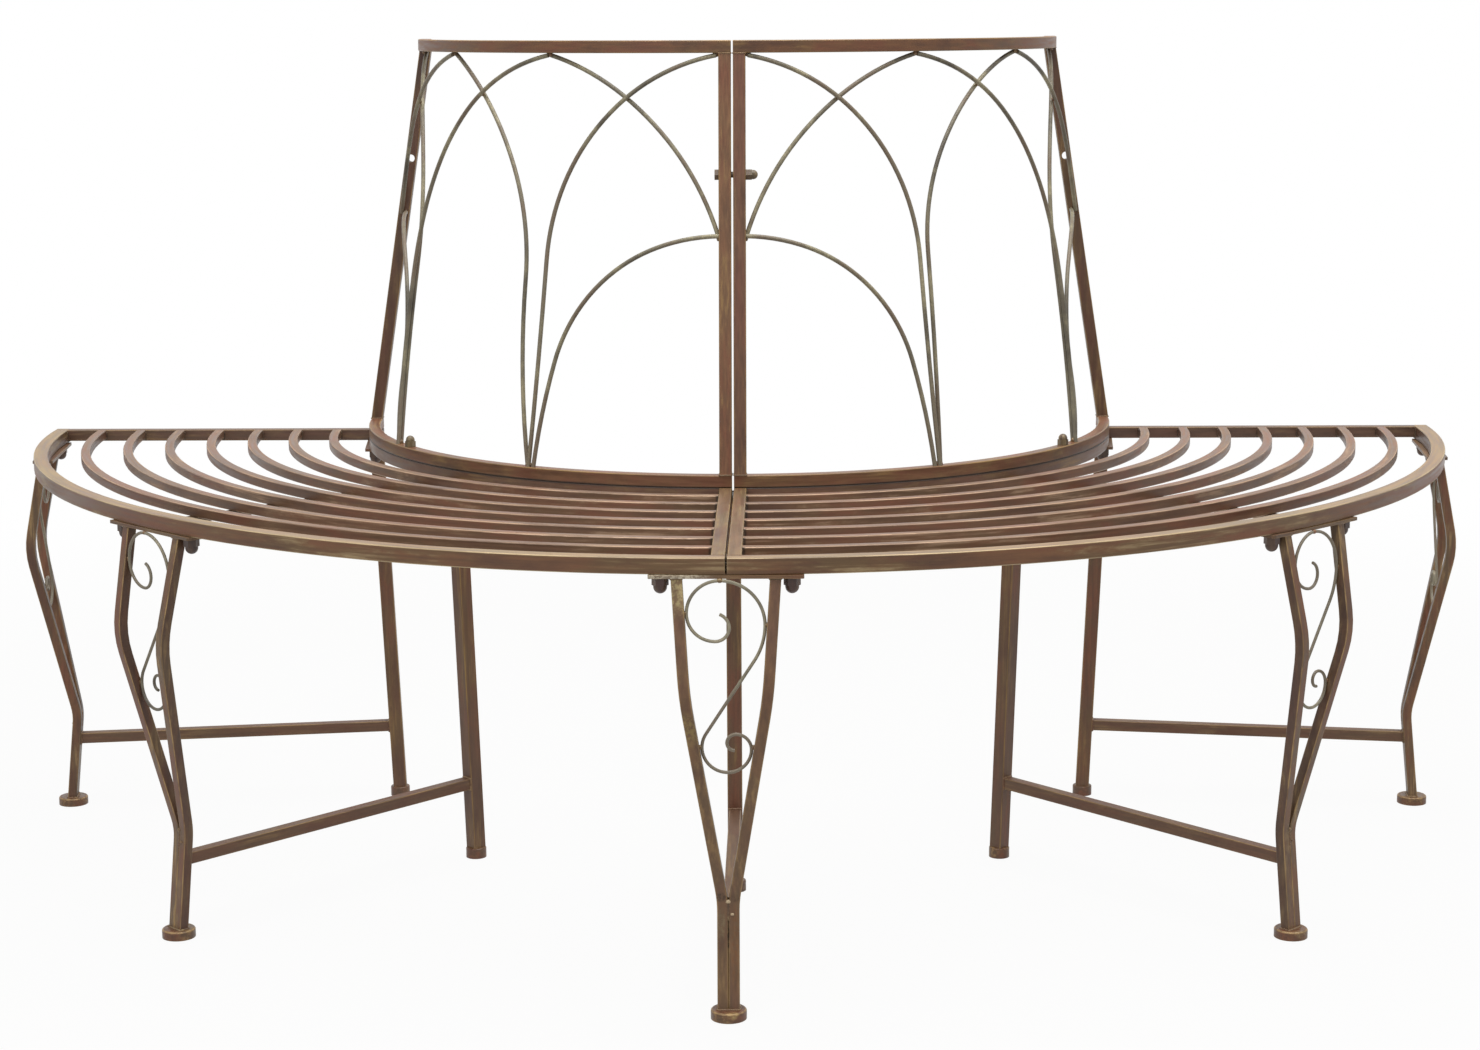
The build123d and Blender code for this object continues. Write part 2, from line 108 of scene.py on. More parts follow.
class NodeSheet:
    """A short way to write the nodes of a material or of the world."""

    # Sockets of a mix node that mixes colours
    MIX_BELOW, MIX_ABOVE, MIX_RESULT = 6, 7, 2
    # How much of a finish's shift moves x, y and z
    SHIFT_SHARES = (1.0, 0.7, 0.4)
    # What each further axis of brushed coordinates adds to the shift
    BRUSHED_SHIFT = 0.3
    # Metres that a radian round the trunk counts as
    TURN_LENGTH = 0.6
    # Slants between which a face counts as looking inwards, and as part of a rounded corner
    INWARD_SLANT = (-0.15, -0.60)
    CORNER_SLANT = (0.12, 0.45)
    # Agreement with the bevelled normal beside a corner, and the mask there
    CORNER_STRIP = (0.995, 0.90, 0.0, 0.6)
    BEVEL_SAMPLES = 6
    # Share of its reach within which a rubbed place shows in full
    FULL_REACH = 0.45

    def __init__(self, owner: Owner) -> None:
        """Starts an empty sheet.

        Args:
            owner: The new material or world that the nodes belong to.
        """
        owner.use_nodes = True
        self.owner = owner
        self.tree = owner.node_tree
        self.tree.nodes.clear()

    def add(self, kind: str, inputs: Inputs, **settings: object) -> bpy.types.Node:
        """Adds a node.

        Args:
            kind: The node's type name.
            inputs: What its inputs take, another node's output or a plain value, by name or number.
            **settings: Values for the node's own properties.

        Returns:
            The new node.
        """
        node = self.tree.nodes.new(kind)
        for key, value in settings.items():
            setattr(node, key, value)
        for key, value in inputs.items():
            if isinstance(value, bpy.types.NodeSocket):
                self.tree.links.new(value, node.inputs[key])
            else:
                node.inputs[key].default_value = value
        return node

    def math(self, operation: str, first: Feed, second: Feed = 0.0) -> Socket:
        """Adds a math node and gives its result."""
        return self.add("ShaderNodeMath", {0: first, 1: second}, operation=operation).outputs[0]

    def times(self, product: Feed, *others: Feed) -> Socket:
        """Multiplies values.

        Args:
            product: The first value.
            *others: The values that it is multiplied with.

        Returns:
            The product of them all.
        """
        for other in others:
            product = self.math("MULTIPLY", product, other)
        return product

    def vector(self, operation: str, first: Feed, second: Feed = (0.0, 0.0, 0.0)) -> Socket:
        """Adds a vector math node and gives its vector or, for a dot product or a length, its value."""
        node = self.add("ShaderNodeVectorMath", {0: first, 1: second}, operation=operation)
        return node.outputs["Value" if operation in ("DOT_PRODUCT", "LENGTH") else "Vector"]

    def between(self, value: Feed, low: float, high: float, start: float = 0.0, end: float = 1.0) -> Socket:
        """Maps values from low to high smoothly onto start to end, and holds them there."""
        inputs = dict(enumerate((value, low, high, start, end)))
        return self.add("ShaderNodeMapRange", inputs, interpolation_type="SMOOTHSTEP").outputs[0]

    def noise(self, place: Socket, scale: float, detail: float, roughness: float = 0.55) -> Socket:
        """Adds a noise texture, with its cells per metre as its scale, and gives its value."""
        inputs = {"Vector": place, "Scale": scale, "Detail": detail, "Roughness": roughness}
        return self.add("ShaderNodeTexNoise", inputs).outputs["Fac"]

    def blend(self, share: Feed, below: Feed, above: Feed, mode: str = "MIX") -> Socket:
        """Lays a share of one colour over another."""
        inputs = {0: share, self.MIX_BELOW: below, self.MIX_ABOVE: above}
        return self.add("ShaderNodeMix", inputs, data_type="RGBA", blend_type=mode).outputs[self.MIX_RESULT]

    def ramp(self, value: Socket, stops: Sequence[tuple[float, Display]]) -> Socket:
        """Colours a value by a row of stops.

        Args:
            value: The value to colour.
            stops: Places from 0 to 1, each with its display colour.

        Returns:
            The colour.
        """
        node = self.add("ShaderNodeValToRGB", {0: value})
        elements = node.color_ramp.elements
        while len(elements) < len(stops):
            elements.new(0.5)
        for element, (place, colour) in zip(elements, stops):
            element.position = place
            element.color = linear(colour)
        return node.outputs[0]

    def own_place(self) -> Socket:
        """Gives the piece's own coordinates in metres."""
        return self.add("ShaderNodeTexCoord", {}).outputs["Object"]

    def normal(self) -> Socket:
        """Gives the way in which the surface looks."""
        return self.add("ShaderNodeNewGeometry", {}).outputs["Normal"]

    def split(self, vector: Socket) -> tuple[Socket, Socket, Socket]:
        """Gives x, y and z of a vector."""
        outputs = self.add("ShaderNodeSeparateXYZ", {0: vector}).outputs
        return outputs[0], outputs[1], outputs[2]

    def join(self, parts: Sequence[Feed]) -> Socket:
        """Makes a vector of x, y and z."""
        return self.add("ShaderNodeCombineXYZ", dict(enumerate(parts))).outputs[0]

    def moved_place(self, shift: float) -> Socket:
        """Gives the piece's own coordinates, moved along so that finishes differ."""
        return self.vector("ADD", self.own_place(), tuple(shift * share for share in self.SHIFT_SHARES))

    def trunk_distance(self) -> Socket:
        """Gives the distance from the trunk's axis."""
        x, y, _ = self.split(self.own_place())
        return self.math("SQRT", self.math("ADD", self.times(x, x), self.times(y, y)))

    def brushed_place(self, run: GrainRun, shift: float, draw: float) -> Socket:
        """Gives coordinates that are drawn out along the brushing.

        Args:
            run: The way of the brushing.
            shift: How far the coordinates are moved.
            draw: The share of a stroke's width to its length.

        Returns:
            The coordinates.
        """
        x, y, z = self.split(self.own_place())
        turn = self.times(self.math("ARCTAN2", y, x), self.TURN_LENGTH)
        drawn = {GrainRun.AROUND: 0, GrainRun.OUTWARD: 1, GrainRun.UPRIGHT: 2}.get(run)
        parts = []
        for index, value in enumerate((turn, self.trunk_distance(), z)):
            pulled = self.times(value, draw if index == drawn else 1.0)
            parts.append(self.math("ADD", pulled, shift * (1.0 + self.BRUSHED_SHIFT * index)))
        return self.join(parts)

    def facing(self) -> tuple[Socket, Socket, Socket]:
        """Looks at the way in which a face points.

        Returns:
            How far it looks around the trunk, out from it and up, each from 0 to 1.
        """
        x, y, _ = self.split(self.own_place())
        outward = self.vector("NORMALIZE", self.join((x, y)))
        reach = self.math("ABSOLUTE", self.vector("DOT_PRODUCT", outward, self.normal()))
        rise = self.math("ABSOLUTE", self.split(self.normal())[2])
        rest = self.math("SUBTRACT", 1.0, self.times(reach, reach))
        rest = self.math("SUBTRACT", rest, self.times(rise, rise))
        return self.math("SQRT", self.math("MAXIMUM", rest, 0.0)), reach, rise

    def inward(self) -> Socket:
        """Gives a mask of the faces that look towards the middle plane of the bench."""
        side = self.math("SIGN", self.split(self.own_place())[0])
        return self.between(self.times(side, self.split(self.normal())[0]), *self.INWARD_SLANT)

    def edge(self, run: GrainRun, radius: float) -> Socket:
        """Gives a mask of a tube's rounded corners and of the strip beside them.

        Args:
            run: The way in which the tube runs.
            radius: How far from a corner the strip reaches, in metres.

        Returns:
            A value from 0 on a face to 1 on a corner.
        """
        around, out, up = self.facing()
        pair = {
            GrainRun.AROUND: (out, up),
            GrainRun.UPRIGHT: (around, out),
            GrainRun.OUTWARD: (around, up),
            GrainRun.ROUND: (self.math("MAXIMUM", around, out), up),
        }[run]
        corner = self.between(self.math("MINIMUM", *pair), *self.CORNER_SLANT)
        rounded = self.add("ShaderNodeBevel", {"Radius": radius}, samples=self.BEVEL_SAMPLES).outputs[0]
        strip = self.between(self.vector("DOT_PRODUCT", rounded, self.normal()), *self.CORNER_STRIP)
        return self.math("MAXIMUM", corner, strip)

    def near(self, place: Place, reach: float, stretch: float) -> Socket:
        """Gives a mask of what lies near a point.

        Args:
            place: The point in metres.
            reach: The distance along x at which the mask ends.
            stretch: How much farther it reaches along y and z.

        Returns:
            A value from 0 far away to 1 at the point.
        """
        offset = self.vector("SUBTRACT", self.own_place(), place)
        pressed = self.vector("MULTIPLY", offset, (1.0, 1.0 / stretch, 1.0 / stretch))
        return self.between(self.vector("LENGTH", pressed), reach, reach * self.FULL_REACH)

    def bump(self, height: Socket, strength: float, depth: float) -> Socket:
        """Gives the normal of a height that is shown with a strength, to a depth in metres."""
        inputs = {"Height": height, "Strength": strength, "Distance": depth}
        return self.add("ShaderNodeBump", inputs).outputs[0]

    def background_rays(self) -> Socket:
        """Marks the rays that see the background itself.

        Returns:
            1 for camera, glossy and transmitted rays.
        """
        rays = self.add("ShaderNodeLightPath", {}).outputs
        seen = self.math("MAXIMUM", rays["Is Camera Ray"], rays["Is Glossy Ray"])
        return self.math("MAXIMUM", seen, rays["Is Transmission Ray"])

    def mix_shaders(self, share: Socket, below: bpy.types.Node, above: bpy.types.Node) -> Socket:
        """Lays a share of one shader over another."""
        inputs = {0: share, 1: below.outputs[0], 2: above.outputs[0]}
        return self.add("ShaderNodeMixShader", inputs).outputs[0]

    def close(self, shader: Socket, output: str = "ShaderNodeOutputMaterial") -> Owner:
        """Ends the sheet with its output, and gives the finished material or world."""
        self.add(output, {0: shader})
        return self.owner

    def surface(self, inputs: Inputs) -> Owner:
        """Ends the sheet with a surface shader, and gives the finished material."""
        return self.close(self.add("ShaderNodeBsdfPrincipled", inputs).outputs[0])


@dataclass(frozen=True)
class Rub:
    """A spot of another colour on the lacquer: rubbed or dabbed paint, a painted highlight or painted
    shade.
    """

    place: Place
    reach: float
    colour: Display
    strength: float = 0.8
    grain: float = 160.0
    stretch: float = 1.0


@dataclass(frozen=True)
class Brushwork:
    """The noises and the mask of upper faces that one finish is painted with."""

    stroke: Socket
    cloud: Socket
    drift: Socket
    fleck: Socket
    upper: Socket


# Noise values between which the kinds of paint fade in and, where four are given, from what to what
STROKE_RANGE = (0.30, 0.70)
MOSSY_DRIFT = (0.45, 0.62)
GOLDEN_DRIFT = (0.50, 0.66)
GOLDEN_STROKE = (0.44, 0.64)
RUBBED_STROKE = (0.30, 0.60, 0.30, 1.0)
WORN_STROKE = (0.30, 0.60, 0.45, 1.0)
GRIMY_DRIFT = (0.38, 0.60, 1.0, 0.45)
SPECKLED = (0.42, 0.58, 0.25, 1.0)
PITTED_FLECK = (0.36, 0.27)

# Cloud values at which the lacquer's browns follow one another
CLOUD_STOPS = (0.36, 0.47, 0.56, 0.66)

# How far clouds, patches of patina and each further spot, rubbed or of painted light or shade, lie from the
# strokes' coordinates
CLOUD_SHIFT, DRIFT_SHIFT, RUB_SHIFT = 1.7, 3.1, 0.9

# Slants between which a face counts as an upper one
UPPER_SLANT = (0.85, 0.97)

# How strongly pits, painted shade at joints and a painted shadow line cover the paint, their colours, and
# the colour of painted shade on inner faces
PIT_SHARE, PIT_COLOUR = 0.40, (52, 38, 31)
DIRT_SHARE, DIRT_COLOUR = 0.85, (40, 29, 20)
SEAM_SHARE, SEAM_COLOUR = 0.85, (40, 27, 22)
GRIME_COLOUR = (54, 41, 35)

# Metres over which the painted shade at a joint fades, and between which the painted shadow line does
DIRT_FADE = 0.0030
SEAM_EDGES = (0.0017, 0.0007)


@dataclass(frozen=True)
class AgedPaint:
    """Brown lacquer with a gold patina brushed over it and worn through at the corners. The gold on the
    corners also paints their highlights, and the finish paints light on upper faces and shade at joints, on
    inner faces and along a line.
    """

    name: str
    run: GrainRun
    brown: Display = (114, 79, 54)
    shade: Display = (92, 63, 46)
    rust: Display = (113, 72, 52)
    olive: Display = (112, 88, 57)
    gold: Display = (152, 124, 76)
    patina: float = 0.5
    mossiness: float = 0.7
    corner_wear: float = 0.7
    corner_strip: float = 0.0018
    smoothest: float = 0.34
    roughest: float = 0.52
    shift: float = 0.0
    patch: float = 1.0
    streak: float = 1.0
    darkest_stroke: float = 0.20
    brightest_stroke: float = 0.16
    top_wear: float = 0.0
    dirty_joint: float = 0.0
    seam_height: float = 0.0
    inner_grime: float = 0.0
    worn_beyond: float = 0.0
    worn_fade: float = 0.05
    gold_metal: float = 0.30
    stroke_height: float = 0.6
    fleck_height: float = 0.5
    relief: float = 0.28
    relief_depth: float = 0.0004
    gloss: float = 0.40
    rubs: tuple[Rub, ...] = ()

    def material(self) -> bpy.types.Material:
        """Builds the finish.

        Returns:
            Its material.
        """
        sheet = NodeSheet(bpy.data.materials.new(self.name))
        brush = self.brushwork(sheet)
        golden = self.golden(sheet, brush)
        colour = sheet.blend(golden, self.lacquer(sheet, brush), linear(self.gold))
        colour = self.rubbed_places(sheet, colour)
        tone = sheet.between(brush.stroke, *STROKE_RANGE, 1.0 - self.darkest_stroke * self.streak,
                             1.0 + self.brightest_stroke * self.streak)
        colour = sheet.blend(1.0, colour, tone, "MULTIPLY")
        height = sheet.math("ADD", sheet.times(brush.stroke, self.stroke_height),
                            sheet.times(brush.fleck, self.fleck_height))
        return sheet.surface({
            "Base Color": self.soiled(sheet, brush, colour),
            "Metallic": sheet.times(golden, self.gold_metal),
            "Roughness": sheet.between(brush.stroke, *STROKE_RANGE, self.smoothest, self.roughest),
            "Normal": sheet.bump(height, self.relief * self.streak, self.relief_depth),
            "Specular IOR Level": self.gloss,
        })

    def brushwork(self, sheet: NodeSheet) -> Brushwork:
        """Lays out the noises of this finish.

        Args:
            sheet: The material being built.

        Returns:
            Fine strokes, broad clouds, patches of patina, flecks and the upper faces.
        """
        strokes = sheet.brushed_place(self.run, self.shift, draw=0.05)
        clouds = sheet.brushed_place(self.run, self.shift + CLOUD_SHIFT, draw=0.35)
        drifts = sheet.brushed_place(self.run, self.shift + DRIFT_SHIFT, draw=0.30)
        flecks = sheet.moved_place(self.shift)
        return Brushwork(
            stroke=sheet.noise(strokes, scale=260.0, detail=4.0, roughness=0.6),
            cloud=sheet.noise(clouds, scale=20.0 * self.patch, detail=5.0, roughness=0.6),
            drift=sheet.noise(drifts, scale=34.0 * self.patch, detail=6.0, roughness=0.66),
            fleck=sheet.noise(flecks, scale=420.0, detail=3.0, roughness=0.7),
            upper=sheet.between(sheet.facing()[2], *UPPER_SLANT))

    def lacquer(self, sheet: NodeSheet, brush: Brushwork) -> Socket:
        """Paints the brown lacquer with its olive patches.

        Args:
            sheet: The material being built.
            brush: The finish's noises.

        Returns:
            The colour.
        """
        stops = list(zip(CLOUD_STOPS, (self.shade, self.brown, self.rust, self.brown)))
        mossy = sheet.between(brush.drift, *MOSSY_DRIFT, 0.0, self.mossiness)
        return sheet.blend(mossy, sheet.ramp(brush.cloud, stops), linear(self.olive))

    def golden(self, sheet: NodeSheet, brush: Brushwork) -> Socket:
        """Masks where the gold shows: in brushed patches, on corners as wear and painted highlight, and as
        painted light on upper faces.

        Args:
            sheet: The material being built.
            brush: The finish's noises.

        Returns:
            The share of gold.
        """
        streaks = sheet.between(brush.stroke, *GOLDEN_STROKE, 1.0 - self.streak, 1.0)
        patches = sheet.times(sheet.between(brush.drift, *GOLDEN_DRIFT), streaks, self.patina)
        # Gold on the rounded corners: lacquer worn through there, and a painted highlight along them
        corners = sheet.times(
            sheet.edge(self.run, self.corner_strip), sheet.between(brush.stroke, *RUBBED_STROKE))
        if self.worn_beyond:
            outside = (self.worn_beyond - self.worn_fade, self.worn_beyond)
            corners = sheet.times(corners, sheet.between(sheet.trunk_distance(), *outside))
        golden = sheet.math("MAXIMUM", patches, sheet.times(corners, self.corner_wear))
        # Painted light: gold on the upper faces, as lit from above
        if self.top_wear:
            worn = sheet.times(brush.upper, sheet.between(brush.stroke, *WORN_STROKE), self.top_wear)
            golden = sheet.math("MAXIMUM", golden, worn)
        return golden

    def rubbed_places(self, sheet: NodeSheet, colour: Socket) -> Socket:
        """Lays the rubbed places, painted highlights and painted shade over the paint.

        Args:
            sheet: The material being built.
            colour: The paint below.

        Returns:
            The paint with those places.
        """
        for number, rub in enumerate(self.rubs):
            place = sheet.moved_place(self.shift + RUB_SHIFT * number)
            speckle = sheet.noise(place, scale=rub.grain, detail=4.0, roughness=0.7)
            mask = sheet.times(sheet.near(rub.place, rub.reach, rub.stretch),
                               sheet.between(speckle, *SPECKLED), rub.strength)
            colour = sheet.blend(mask, colour, linear(rub.colour))
        return colour

    def soiled(self, sheet: NodeSheet, brush: Brushwork, colour: Socket) -> Socket:
        """Lays pits and painted shade over the paint.

        Args:
            sheet: The material being built.
            brush: The finish's noises.
            colour: The paint below.

        Returns:
            The paint with pits, painted shade at joints and on inner faces, and a painted shadow line.
        """
        pits = sheet.between(brush.fleck, *PITTED_FLECK, 0.0, PIT_SHARE * self.streak)
        colour = sheet.blend(pits, colour, linear(PIT_COLOUR))
        x, _, z = sheet.split(sheet.own_place())
        # Painted shade in the corners under the slats' ends beside the centre bars
        if self.dirty_joint:
            fade = (self.dirty_joint + DIRT_FADE, self.dirty_joint)
            dirt = sheet.between(sheet.math("ABSOLUTE", x), *fade, 0.0, DIRT_SHARE)
            dirt = sheet.times(dirt, sheet.math("SUBTRACT", 1.0, brush.upper))
            colour = sheet.blend(dirt, colour, linear(DIRT_COLOUR))
        # Painted shade on the faces that look towards the bench's middle plane
        if self.inner_grime:
            grime = sheet.times(
                sheet.inward(), sheet.between(brush.drift, *GRIMY_DRIFT), self.inner_grime)
            colour = sheet.blend(grime, colour, linear(GRIME_COLOUR))
        # Painted shadow: a dark line at the given height, where the bottom rail meets the seat
        if self.seam_height:
            off = sheet.math("ABSOLUTE", sheet.math("SUBTRACT", z, self.seam_height))
            colour = sheet.blend(
                sheet.between(off, *SEAM_EDGES, 0.0, SEAM_SHARE), colour, linear(SEAM_COLOUR))
        return colour


@dataclass(frozen=True)
class BareSteel:
    """Plated steel of the studs, turned and slightly dull."""

    name: str
    bright: Display = (172, 170, 164)
    dull: Display = (120, 114, 106)
    smoothest: float = 0.26
    roughest: float = 0.46

    def material(self) -> bpy.types.Material:
        """Builds the finish.

        Returns:
            Its material.
        """
        sheet = NodeSheet(bpy.data.materials.new(self.name))
        turned = sheet.brushed_place(GrainRun.AROUND, shift=0.0, draw=0.02)
        rings = sheet.noise(turned, scale=900.0, detail=3.0)
        cloud = sheet.noise(sheet.own_place(), scale=120.0, detail=4.0)
        return sheet.surface({
            "Base Color": sheet.ramp(cloud, [(0.35, self.dull), (0.65, self.bright)]),
            "Metallic": 1.0,
            "Roughness": sheet.between(cloud, *STROKE_RANGE, self.smoothest, self.roughest),
            "Normal": sheet.bump(rings, strength=0.25, depth=0.0002),
        })


class Palette:
    """The bench's finishes, each made once."""

    def __init__(self) -> None:
        """Builds every material."""
        paint = self.paint
        around, upright, outward = GrainRun.AROUND, GrainRun.UPRIGHT, GrainRun.OUTWARD
        self.rim = paint(
            "rim", around, gold=(180, 160, 124), mossiness=0.75, corner_wear=0.95, top_wear=0.42,
            inner_grime=0.6, shift=0.4)
        self.inner_rim = paint(
            "inner_rim", around, brown=(102, 74, 56), rust=(100, 68, 52), patina=0.3, mossiness=0.4,
            corner_wear=0.25, seam_height=SEAT_TOP, shift=0.9)
        self.slat = paint(
            "slat", around, brown=(106, 76, 55), gold=(176, 147, 121), mossiness=0.38, corner_wear=0.9,
            top_wear=0.12, dirty_joint=0.0145, inner_grime=0.65, shift=1.3)
        self.bar = paint(
            "bar", outward, brown=(113, 86, 61), rust=(111, 80, 58), olive=(117, 97, 68), patina=0.65,
            mossiness=0.85, shift=2.1)
        self.end_bar = paint(
            "end_bar", outward, brown=(94, 69, 54), shade=(76, 55, 44), rust=(92, 64, 51),
            olive=(100, 80, 60), patina=0.25, mossiness=0.4, corner_wear=0.45, shift=2.5)
        self.rail = paint("rail", around, mossiness=0.45, patina=0.35, seam_height=SEAT_TOP, shift=2.9)
        self.end_post = paint(
            "end_post", upright, brown=(94, 66, 49), shade=(74, 51, 40), rust=(90, 60, 46),
            olive=(98, 76, 52), patina=0.35, shift=3.7)
        self.golden_post = paint(
            "golden_post", upright, brown=(120, 85, 60), shade=(102, 73, 53), olive=(122, 94, 66),
            patina=0.55, mossiness=0.55, shift=4.2)
        self.red_post = paint(
            "red_post", upright, brown=(110, 77, 58), rust=(108, 70, 54), olive=(106, 80, 57),
            patina=0.3, mossiness=0.5, shift=5.0)
        self.rod = paint(
            "rod", GrainRun.ROUND, brown=(120, 112, 94), shade=(86, 79, 67), rust=(118, 103, 86),
            olive=(132, 126, 102), gold=(172, 161, 130), patina=0.65, corner_wear=0.0, patch=0.4,
            streak=0.35, shift=5.8)
        self.leg = paint(
            "leg", upright, olive=(109, 87, 61), gold=(164, 136, 94), patina=0.65, mossiness=0.85,
            corner_wear=0.85, inner_grime=0.75, shift=6.6, rubs=self.knee_spots())
        self.middle_leg = paint(
            "middle_leg", upright, brown=(113, 84, 60), rust=(108, 78, 60), olive=(114, 90, 62),
            gold=(158, 130, 88), patina=0.45, mossiness=0.7, shift=6.9, rubs=self.middle_leg_rubs())
        self.rear_leg = paint(
            "rear_leg", upright, brown=(104, 75, 55), patina=0.35, mossiness=0.55, shift=7.3)
        self.stretcher = paint(
            "stretcher", outward, brown=(102, 75, 56), rust=(100, 69, 53), olive=(106, 84, 61),
            gold=(146, 120, 82), patina=0.4, mossiness=0.55, smoothest=0.44, roughest=0.62, shift=7.7)
        self.scroll = paint(
            "scroll", GrainRun.ROUND, brown=(128, 120, 103), shade=(90, 83, 73), rust=(126, 114, 98),
            olive=(136, 130, 110), gold=(180, 169, 143), corner_wear=0.0, patch=0.4, streak=0.35,
            shift=8.1)
        self.plate = paint(
            "plate", around, brown=(100, 76, 57), gold=(158, 136, 102), patina=0.35, mossiness=0.5,
            corner_wear=0.6, shift=8.9,
            rubs=(
                Rub((-0.052, -0.784, 0.407), reach=0.044, colour=(204, 192, 168), strength=0.95,
                    grain=200.0),))
        # The foot's gold corners paint the highlight on the front feet's fillets; rear feet are left
        # without it
        self.foot = paint(
            "foot", GrainRun.ROUND, brown=(98, 73, 55), gold=(164, 136, 94), corner_wear=0.75,
            mossiness=0.5, smoothest=0.28, worn_beyond=0.6, shift=9.4,
            rubs=(
                # Painted highlights on the front edges of the middle and right feet
                Rub((0.004, -0.7835, 0.0088), reach=0.0065, colour=(196, 168, 112), strength=0.70),
                Rub((0.549, -0.5580, 0.0088), reach=0.0065, colour=(184, 158, 114), strength=0.65)))
        self.nut = paint(
            "nut", upright, brown=(76, 57, 51), shade=(60, 46, 43), rust=(80, 56, 51),
            olive=(80, 65, 53), gold=(108, 88, 69), patina=0.2, corner_wear=0.35, smoothest=0.30,
            roughest=0.46, shift=10.2)
        self.link = paint(
            "link", upright, brown=(98, 84, 64), shade=(72, 60, 47), rust=(94, 74, 58),
            olive=(106, 94, 68), gold=(138, 122, 92), corner_wear=0.6, smoothest=0.30, roughest=0.46,
            shift=10.6)
        self.weld = paint(
            "weld", around, brown=(116, 88, 65), shade=(82, 62, 48), gold=(180, 158, 118), patina=0.9,
            corner_wear=0.3, shift=11.0)
        # Dark brown that paints the shade in the seat's joints: on its weld beads, the slit filler and the
        # slat support under the seat
        self.seam = paint(
            "seam", around, brown=(72, 53, 39), shade=(46, 34, 26), rust=(70, 50, 37),
            olive=(78, 62, 42), gold=(124, 102, 72), patina=0.3, corner_wear=0.2, shift=11.3)
        # A lighter copy of the weld finish: a painted highlight on the middle knee's tack welds
        self.dab = paint(
            "dab", around, brown=(190, 170, 138), shade=(160, 138, 108), rust=(186, 158, 126),
            olive=(186, 168, 130), gold=(214, 196, 164), streak=0.6, shift=11.7)
        self.stud = BareSteel("stud_plating").material()

    @staticmethod
    def paint(word: str, run: GrainRun, **looks: object) -> bpy.types.Material:
        """Makes one aged paint, named for the pieces that wear it."""
        return AgedPaint(f"{word}_lacquer", run, **looks).material()

    @staticmethod
    def knee_spots(reach: float = 0.762, height: float = 0.107) -> tuple[Rub, ...]:
        """Finds the dark spots at the seams of the side knees.

        Args:
            reach: Their distance from the trunk axis.
            height: Their height above the floor.

        Returns:
            A spot for each side leg.
        """
        spots = []
        for name, angle in LEG_ANGLES.items():
            if name != MIDDLE_LEG:
                turn = math.radians(angle)
                place = (-reach * math.cos(turn), -reach * math.sin(turn), height)
                spots.append(Rub(place, reach=0.007, colour=(84, 66, 36), strength=0.70, grain=420.0))
        return tuple(spots)

    @staticmethod
    def middle_leg_rubs() -> tuple[Rub, ...]:
        """Gives the marks of the middle leg.

        Returns:
            Gold at the left tube's top and bulge, two spots of painted shade in the crease of the knee, a
            grey streak and a reddish one below it, and a line of painted shade in the seam between the
            tubes.
        """
        return (
            Rub((-0.0450, -0.781, 0.400), reach=0.034, colour=(176, 158, 114), strength=0.90, grain=240.0),
            Rub((-0.0390, -0.800, 0.272), reach=0.022, colour=(146, 124, 76), strength=0.75, grain=260.0),
            # Painted shade in the crease of the knee
            Rub((-0.0065, -0.7630, 0.1115), reach=0.0060, colour=(56, 40, 24), strength=0.80, grain=420.0),
            Rub((0.0060, -0.7630, 0.1102), reach=0.0050, colour=(66, 46, 30), strength=0.60, grain=420.0),
            Rub((-0.0060, -0.7640, 0.0860), reach=0.0046, colour=(124, 110, 82),
                strength=0.60, grain=300.0, stretch=4.0),
            Rub((0.0060, -0.7640, 0.0640), reach=0.0048, colour=(118, 79, 48),
                strength=0.75, grain=300.0, stretch=11.0),
            # Painted shade along the seam between the two tubes
            Rub((0.0, -0.7650, 0.0770), reach=0.0013, colour=(40, 28, 18),
                strength=0.95, grain=90.0, stretch=20.0))


def dress(node: str, material: bpy.types.Material) -> None:
    """Gives a CAD node its finish.

    Args:
        node: The node's name.
        material: The finish's material.
    """
    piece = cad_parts[node]
    piece.data.materials.clear()
    piece.data.materials.append(material)
    log.info("dressed %s in %s", node, material.name)


